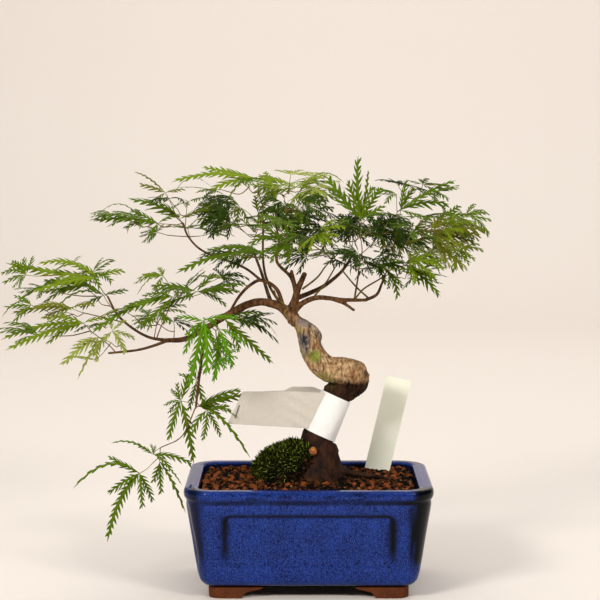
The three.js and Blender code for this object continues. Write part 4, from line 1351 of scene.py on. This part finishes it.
# Each mass of leaves: the limb it grows from and how far along, its region, its tint, how many leaves fill
# it, and the leaves whose place is known: hub x, y, z, and each lobe's direction and reach.
SPRAYS = {
    "left_far_upper": ("left_high_twig", 1.0, "left", "fresh", 3, [
        (-171, -8, 254, [(167, 49), (173, 80), (-175, 35), (11, 22), (-168, 52), (150, 22)])]),
    "left_far_mid": ("left_high_twig", 0.8, "left", "mid", 2, [
        (-169, 18, 237, [(173, 45), (-175, 72), (12, 20), (-165, 40), (-150, 24)])]),
    "left_far_low": ("left_high_twig", 0.6, "left", "olive", 2, [
        (-190, -30, 231, [(-174, 50), (178, 30), (-160, 28), (8, 20)])]),
    "left_far_lower": ("left_low_twig", 0.9, "left", "fresh", 2, [
        (-185, 8, 215, [(-168, 71), (-162, 64), (175, 34), (-150, 34), (10, 20)])]),
    "left_inner_long": ("left_high_twig", 0.35, "left", "mid", 2, [
        (-110, -18, 239, [(-156, 71), (-166, 44), (-140, 36), (-178, 26)])]),
    "left_droop": ("left_low_twig", 0.7, "left", "pale", 1, [
        (-172, 0, 204, [(-142, 38), (-117, 40), (-160, 22), (-95, 20)]),
        (-160, -6, 210, [(-130, 30), (-60, 22), (40, 14), (100, 14), (-20, 20)])]),
    "left_crown_flat": ("left_high_twig", 0.3, "left", "mid", 6, [
        (-91, -6, 242, [(175, 39), (1, 35), (43, 22), (14, 35), (-28, 28), (-160, 30)])]),
    "left_centre": ("left_bough", 0.95, "left", "deep", 3, []),
    "left_heart": ("left_bough", 0.75, "left", "bright", 1, [
        (-84, -34, 221, [(-103, 58), (-88, 44), (-120, 34), (6, 29), (-60, 30), (170, 22), (-140, 20)]),
        (-72, -28, 214, [(-70, 34), (-96, 46), (-30, 26), (150, 16)])]),
    "left_inner_right": ("left_bough", 0.6, "left", "mid", 2, [
        (-74, 6, 201, [(-93, 19), (-55, 20), (-120, 14), (-20, 16)]),
        (-69, 4, 219, [(7, 33), (-42, 55), (-18, 38), (-65, 30), (30, 20)])]),
    "hanging_mid": ("hanging_bough", 0.95, "hanging", "mid", 0, [
        (-104, -10, 153, [(77, 24), (131, 13), (-166, 14), (-134, 16), (-107, 34), (-80, 55), (100, 16)]),
        (-83, -6, 145, [(-48, 53), (-16, 26), (-98, 26), (-64, 26), (-120, 24), (10, 18)]),
        (-92, 2, 168, [(-105, 26), (-75, 22), (110, 18), (160, 16), (70, 14)])]),
    "hanging_right": ("hanging_bough", 1.0, "hanging", "mid", 0, [
        (-92, 14, 145, [(22, 40), (11, 50), (21, 30), (16, 28), (-6, 30), (-25, 22)])]),
    "hanging_low": ("hanging_bough", 1.0, "hanging", "mid", 0, [
        (-127, -10, 109, [(167, 36), (148, 15), (105, 9), (75, 8), (-17, 34), (-40, 20)]),
        (-122, -6, 102, [(-63, 47), (-88, 28), (-45, 26), (-110, 20)]),
        (-138, -14, 94, [(-115, 67), (-170, 53), (-145, 34), (-85, 29), (-68, 28), (151, 30),
        (-130, 26)])]),
    "upper_left_tip": ("upper_left_bough", 1.0, "upper", "mid", 2, [
        (-122, -8, 298, [(178, 52), (156, 26), (-114, 16), (-170, 30), (20, 20)])]),
    "upper_left_shoot": ("upper_left_bough", 1.0, "upper", "olive", 0, [
        (-117, 8, 322, [(145, 30), (162, 23), (-150, 14), (10, 16)])]),
    "upper_left_body": ("upper_left_bough", 0.95, "upper", "mid", 4, [
        (-105, 2, 301, [(158, 43), (168, 30), (140, 22), (20, 26)])]),
    "upper_left_under": ("upper_left_bough", 0.8, "upper", "deep", 3, []),
    "top_arc": ("straight_crown_bough", 1.0, "upper", "fresh", 2, [
        (-42, -16, 334, [(169, 46), (-178, 68), (-140, 34), (-165, 40), (-10, 22)])]),
    "centre_left_dark": ("straight_crown_bough", 0.9, "upper", "deep", 3, []),
    "centre_low_left": ("straight_crown_bough", 0.6, "upper", "mid", 3, [
        (-38, -12, 275, [(-167, 70), (-155, 35), (178, 44), (170, 28), (10, 26)])]),
    "top_centre": ("dark_crown_bough", 1.0, "centre", "fresh", 7, [
        (-11, 10, 326, [(21, 28), (-9, 27), (160, 26), (-165, 24)])]),
    "centre_body": ("dark_crown_bough", 0.95, "centre", "deep", 9, []),
    "centre_low": ("inner_high", 1.0, "centre", "mid", 7, []),
    "front_centre": ("inner_right", 1.0, "centre", "mid", 8, []),
    "right_spire": ("upright", 1.0, "right", "mid", 0, [
        (42, -26, 302, [(93, 51), (129, 44), (71, 29), (58, 31), (110, 34), (82, 40), (150, 24),
        (30, 22)])]),
    "right_top_arm": ("crossing_right", 1.0, "right", "mid", 5, [
        (75, 4, 308, [(79, 26), (6, 41), (29, 51), (55, 22), (-15, 26)])]),
    "right_far": ("crossing_right", 1.0, "right", "olive", 9, [
        (98, -12, 289, [(5, 45), (1, 32), (-22, 33), (-44, 41), (18, 32), (-12, 40)])]),
    "right_drop_far": ("crossing_right", 0.9, "right", "fresh", 5, []),
    "right_low_far": ("right_bough_tip", 1.0, "right", "mid", 5, [
        (77, -22, 266, [(-2, 31), (-42, 39), (-52, 22), (-25, 30), (12, 24)]),
        (65, -25, 259, [(-73, 22), (-95, 14), (-50, 16)])]),
    "right_body_low": ("upright", 0.8, "right", "deep", 9, []),
    "right_body": ("crossing_left", 1.0, "right", "deep", 14, []),
    "back_left": ("left_rear_bough", 1.0, "rear", "mid", 8, []),
    "back_centre": ("right_rear_bough", 0.9, "rear", "deep", 7, []),
    "back_right": ("right_rear_bough", 1.0, "rear", "mid", 7, []),
}
NEIGHBOUR_TINTS = {
    "deep": ("deep", "deep", "mid"),
    "mid": ("mid", "mid", "deep", "fresh"),
    "fresh": ("fresh", "mid", "pale"),
    "bright": ("bright", "bright", "fresh"),
    "olive": ("olive", "mid", "fresh"),
    "pale": ("pale", "fresh"),
}


def grow_foliage(wood_runs):
    """Replaces each mass by twigs from its limb, leaf stalks, and cut leaves."""
    names = list(LEAF_TINTS)
    finishes = [leaf_material("leaf_" + n, LEAF_TINTS[n]) for n in names]
    finishes += [leaf_material("midrib_" + n, tuple(int(c * 1.12) + 6 for c in LEAF_TINTS[n])) for n in names]
    regions = {}
    twigs, stalks = [], []
    for number, (mass, (limb, share, region, tint, count, known)) in enumerate(SPRAYS.items()):
        rng = np.random.default_rng(100 + number)
        low, high = box_mm("foliage_" + mass)
        centre, half = (low + high) / 2, (high - low) / 2
        bucket = regions.setdefault(region, {"parts": [], "finish": [], "masses": []})
        bucket["masses"].append("foliage_" + mass)
        limb_run = wood_runs[limb]
        last = max(2, round(share * len(limb_run)))
        limb_run = limb_run[last // 2 : last]
        spots = [np.array(leaf[:3], float) for leaf in known] + fill_hubs(rng, count, centre, half)
        shoots, petioles = branch_out(rng, limb_run, spots)
        twigs += shoots
        stalks += petioles
        root = limb_run[-1][:3]
        for k, hub in enumerate(spots):
            pick = names.index(NEIGHBOUR_TINTS[tint][rng.integers(len(NEIGHBOUR_TINTS[tint]))])
            if k < len(known):
                pick = names.index(tint)
                lobes = grow_known_leaf(rng, hub, known[k][3])
            else:
                away = hub - (centre * 0.6 + root * 0.4)
                heading = math.degrees(math.atan2(away[1], away[0])) + rng.uniform(-50, 50)
                lobes = grow_leaf(rng, hub, heading, rng.uniform(30, 50), centre, half)
            for points, triangles, is_rib in lobes:
                bucket["parts"].append((points, triangles))
                bucket["finish"].append(np.where(is_rib, len(names) + pick, pick))
    for region, bucket in regions.items():
        points, triangles = join(bucket["parts"])
        finish = np.concatenate(bucket["finish"])
        leaves = triangle_piece("leaves_" + region, points, triangles, finishes, finish)
        finish_piece(leaves, "foliage", *bucket["masses"])
    return twigs, stalks


def build_fine_wood(thin_limbs):
    """The thin boughs, twigs and leaf stalks, each kind joined."""
    runs = {n: smooth_route(r) for n, r in {**LIMBS, **FINE_TWIGS}.items()}
    twigs, stalks = grow_foliage(runs)
    brown = wood_material("twig_brown", (104, 72, 42), (52, 33, 20))
    olive = wood_material("twig_olive", (132, 108, 52), (86, 62, 30), 0.5)
    green = wood_material("stalk_green", (136, 140, 66), (110, 96, 48), 0.5)
    tubes = join([sweep(runs[n], 12) for n in thin_limbs])
    boughs = triangle_piece("young_boughs", *tubes, [brown], smooth=True)
    finish_piece(boughs, "young_bark", *thin_limbs)
    fine = [sweep(runs[n], 8) for n in FINE_TWIGS] + [sweep(run, 7) for run in twigs]
    finish_piece(triangle_piece("twigs", *join(fine), [olive], smooth=True), "young_bark")
    stalk_tubes = join([sweep(run, 6) for run in stalks])
    finish_piece(triangle_piece("leaf_stalks", *stalk_tubes, [green], smooth=True), "foliage")


# ---------------------------------------------------------------- stage
CAMERA_PLACE = (-7.0, -1626.8, 383.4)
CAMERA_TILT = 5.22  # degrees below level
CAMERA_LENS = 120.0
# The paper sweep: its near edge, where the floor ends, the bend's radius, its top and half its width.
SWEEP_NEAR, SWEEP_BACK, SWEEP_BEND, SWEEP_TOP, SWEEP_HALF = -3500.0, 2100.0, 700.0, 3200.0, 3600.0
SWEEP_STEPS = 12
SOFT_WHITE = (1.0, 0.99, 0.97)


LIGHT_TARGET = (0, 0, 170)
# Name, place, what it faces, its size in metres, its power, and its tint where that isn't white.
STUDIO_LIGHTS = [
    ("left_softbox", (-1150, -1500, 1150), LIGHT_TARGET, (0.6, 0.26), 27.0, SOFT_WHITE),
    ("right_softbox", (1250, -1500, 1100), LIGHT_TARGET, (0.55, 0.25), 19.0, SOFT_WHITE),
    ("overhead_fill", (0, -200, 2100), LIGHT_TARGET, (2.2, 2.2), 20.0),
    ("backdrop_wash", (300, 1100, 2500), (300, 2700, 800), (3.6, 1.2), 47.0),
]


def at(x, y, z):
    return Vector(HOME + np.array([x, y, z]) * MM)


def area_light(name, place, target, size, power, tint=(1.0, 1.0, 1.0)):
    data = bpy.data.lights.new(name, "AREA")
    data.shape = "RECTANGLE"
    data.size, data.size_y = size
    data.energy = power
    data.color = tint
    light = bpy.data.objects.new(name, data)
    bpy.context.scene.collection.objects.link(light)
    light.location = at(*place)
    light.rotation_euler = (at(*target) - at(*place)).to_track_quat("-Z", "Y").to_euler()
    return light


def build_stage():
    """A pale sweep of studio paper, soft lights from both front corners, and the camera."""
    material, _, shader = new_material("studio_paper", Roughness=0.9)
    shader.inputs["Base Color"].default_value = colour(238, 228, 218)
    profile = [(SWEEP_NEAR, 0.0), (SWEEP_BACK, 0.0)]
    for k in range(1, SWEEP_STEPS + 1):
        angle = k / SWEEP_STEPS * math.pi / 2
        profile.append((SWEEP_BACK + SWEEP_BEND * math.sin(angle), SWEEP_BEND - SWEEP_BEND * math.cos(angle)))
    profile.append((SWEEP_BACK + SWEEP_BEND, SWEEP_TOP))
    rows = [[(x, y, z) for y, z in profile] for x in (-SWEEP_HALF, SWEEP_HALF)]
    points, triangles = np.array(rows).reshape(-1, 3), grid_triangles(2, len(profile))
    backdrop = triangle_piece("studio_sweep", points, triangles, [material], smooth=True)
    for light in STUDIO_LIGHTS:
        area_light(*light)
    world = bpy.data.worlds.new("soft_room")
    world.use_nodes = True
    world.node_tree.nodes["Background"].inputs["Color"].default_value = (*SOFT_WHITE, 1.0)
    world.node_tree.nodes["Background"].inputs["Strength"].default_value = 0.1
    bpy.context.scene.world = world
    camera_data = bpy.data.cameras.new("camera")
    camera_data.lens = CAMERA_LENS
    camera_data.sensor_width = 36.0
    camera_data.clip_end = 30.0
    camera = bpy.data.objects.new("camera", camera_data)
    bpy.context.scene.collection.objects.link(camera)
    camera.location = at(*CAMERA_PLACE)
    camera.rotation_euler = (math.radians(90 - CAMERA_TILT), 0.0, 0.0)
    bpy.context.scene.camera = camera
    bpy.context.scene.view_settings.view_transform = "Standard"


build_stage()
build_pot()
build_feet()
STREWN = scatter_tree()
build_soil(STREWN)
build_moss(STREWN)
build_lone_grain()
build_fine_wood(build_trunk())
build_paper()
build_label()
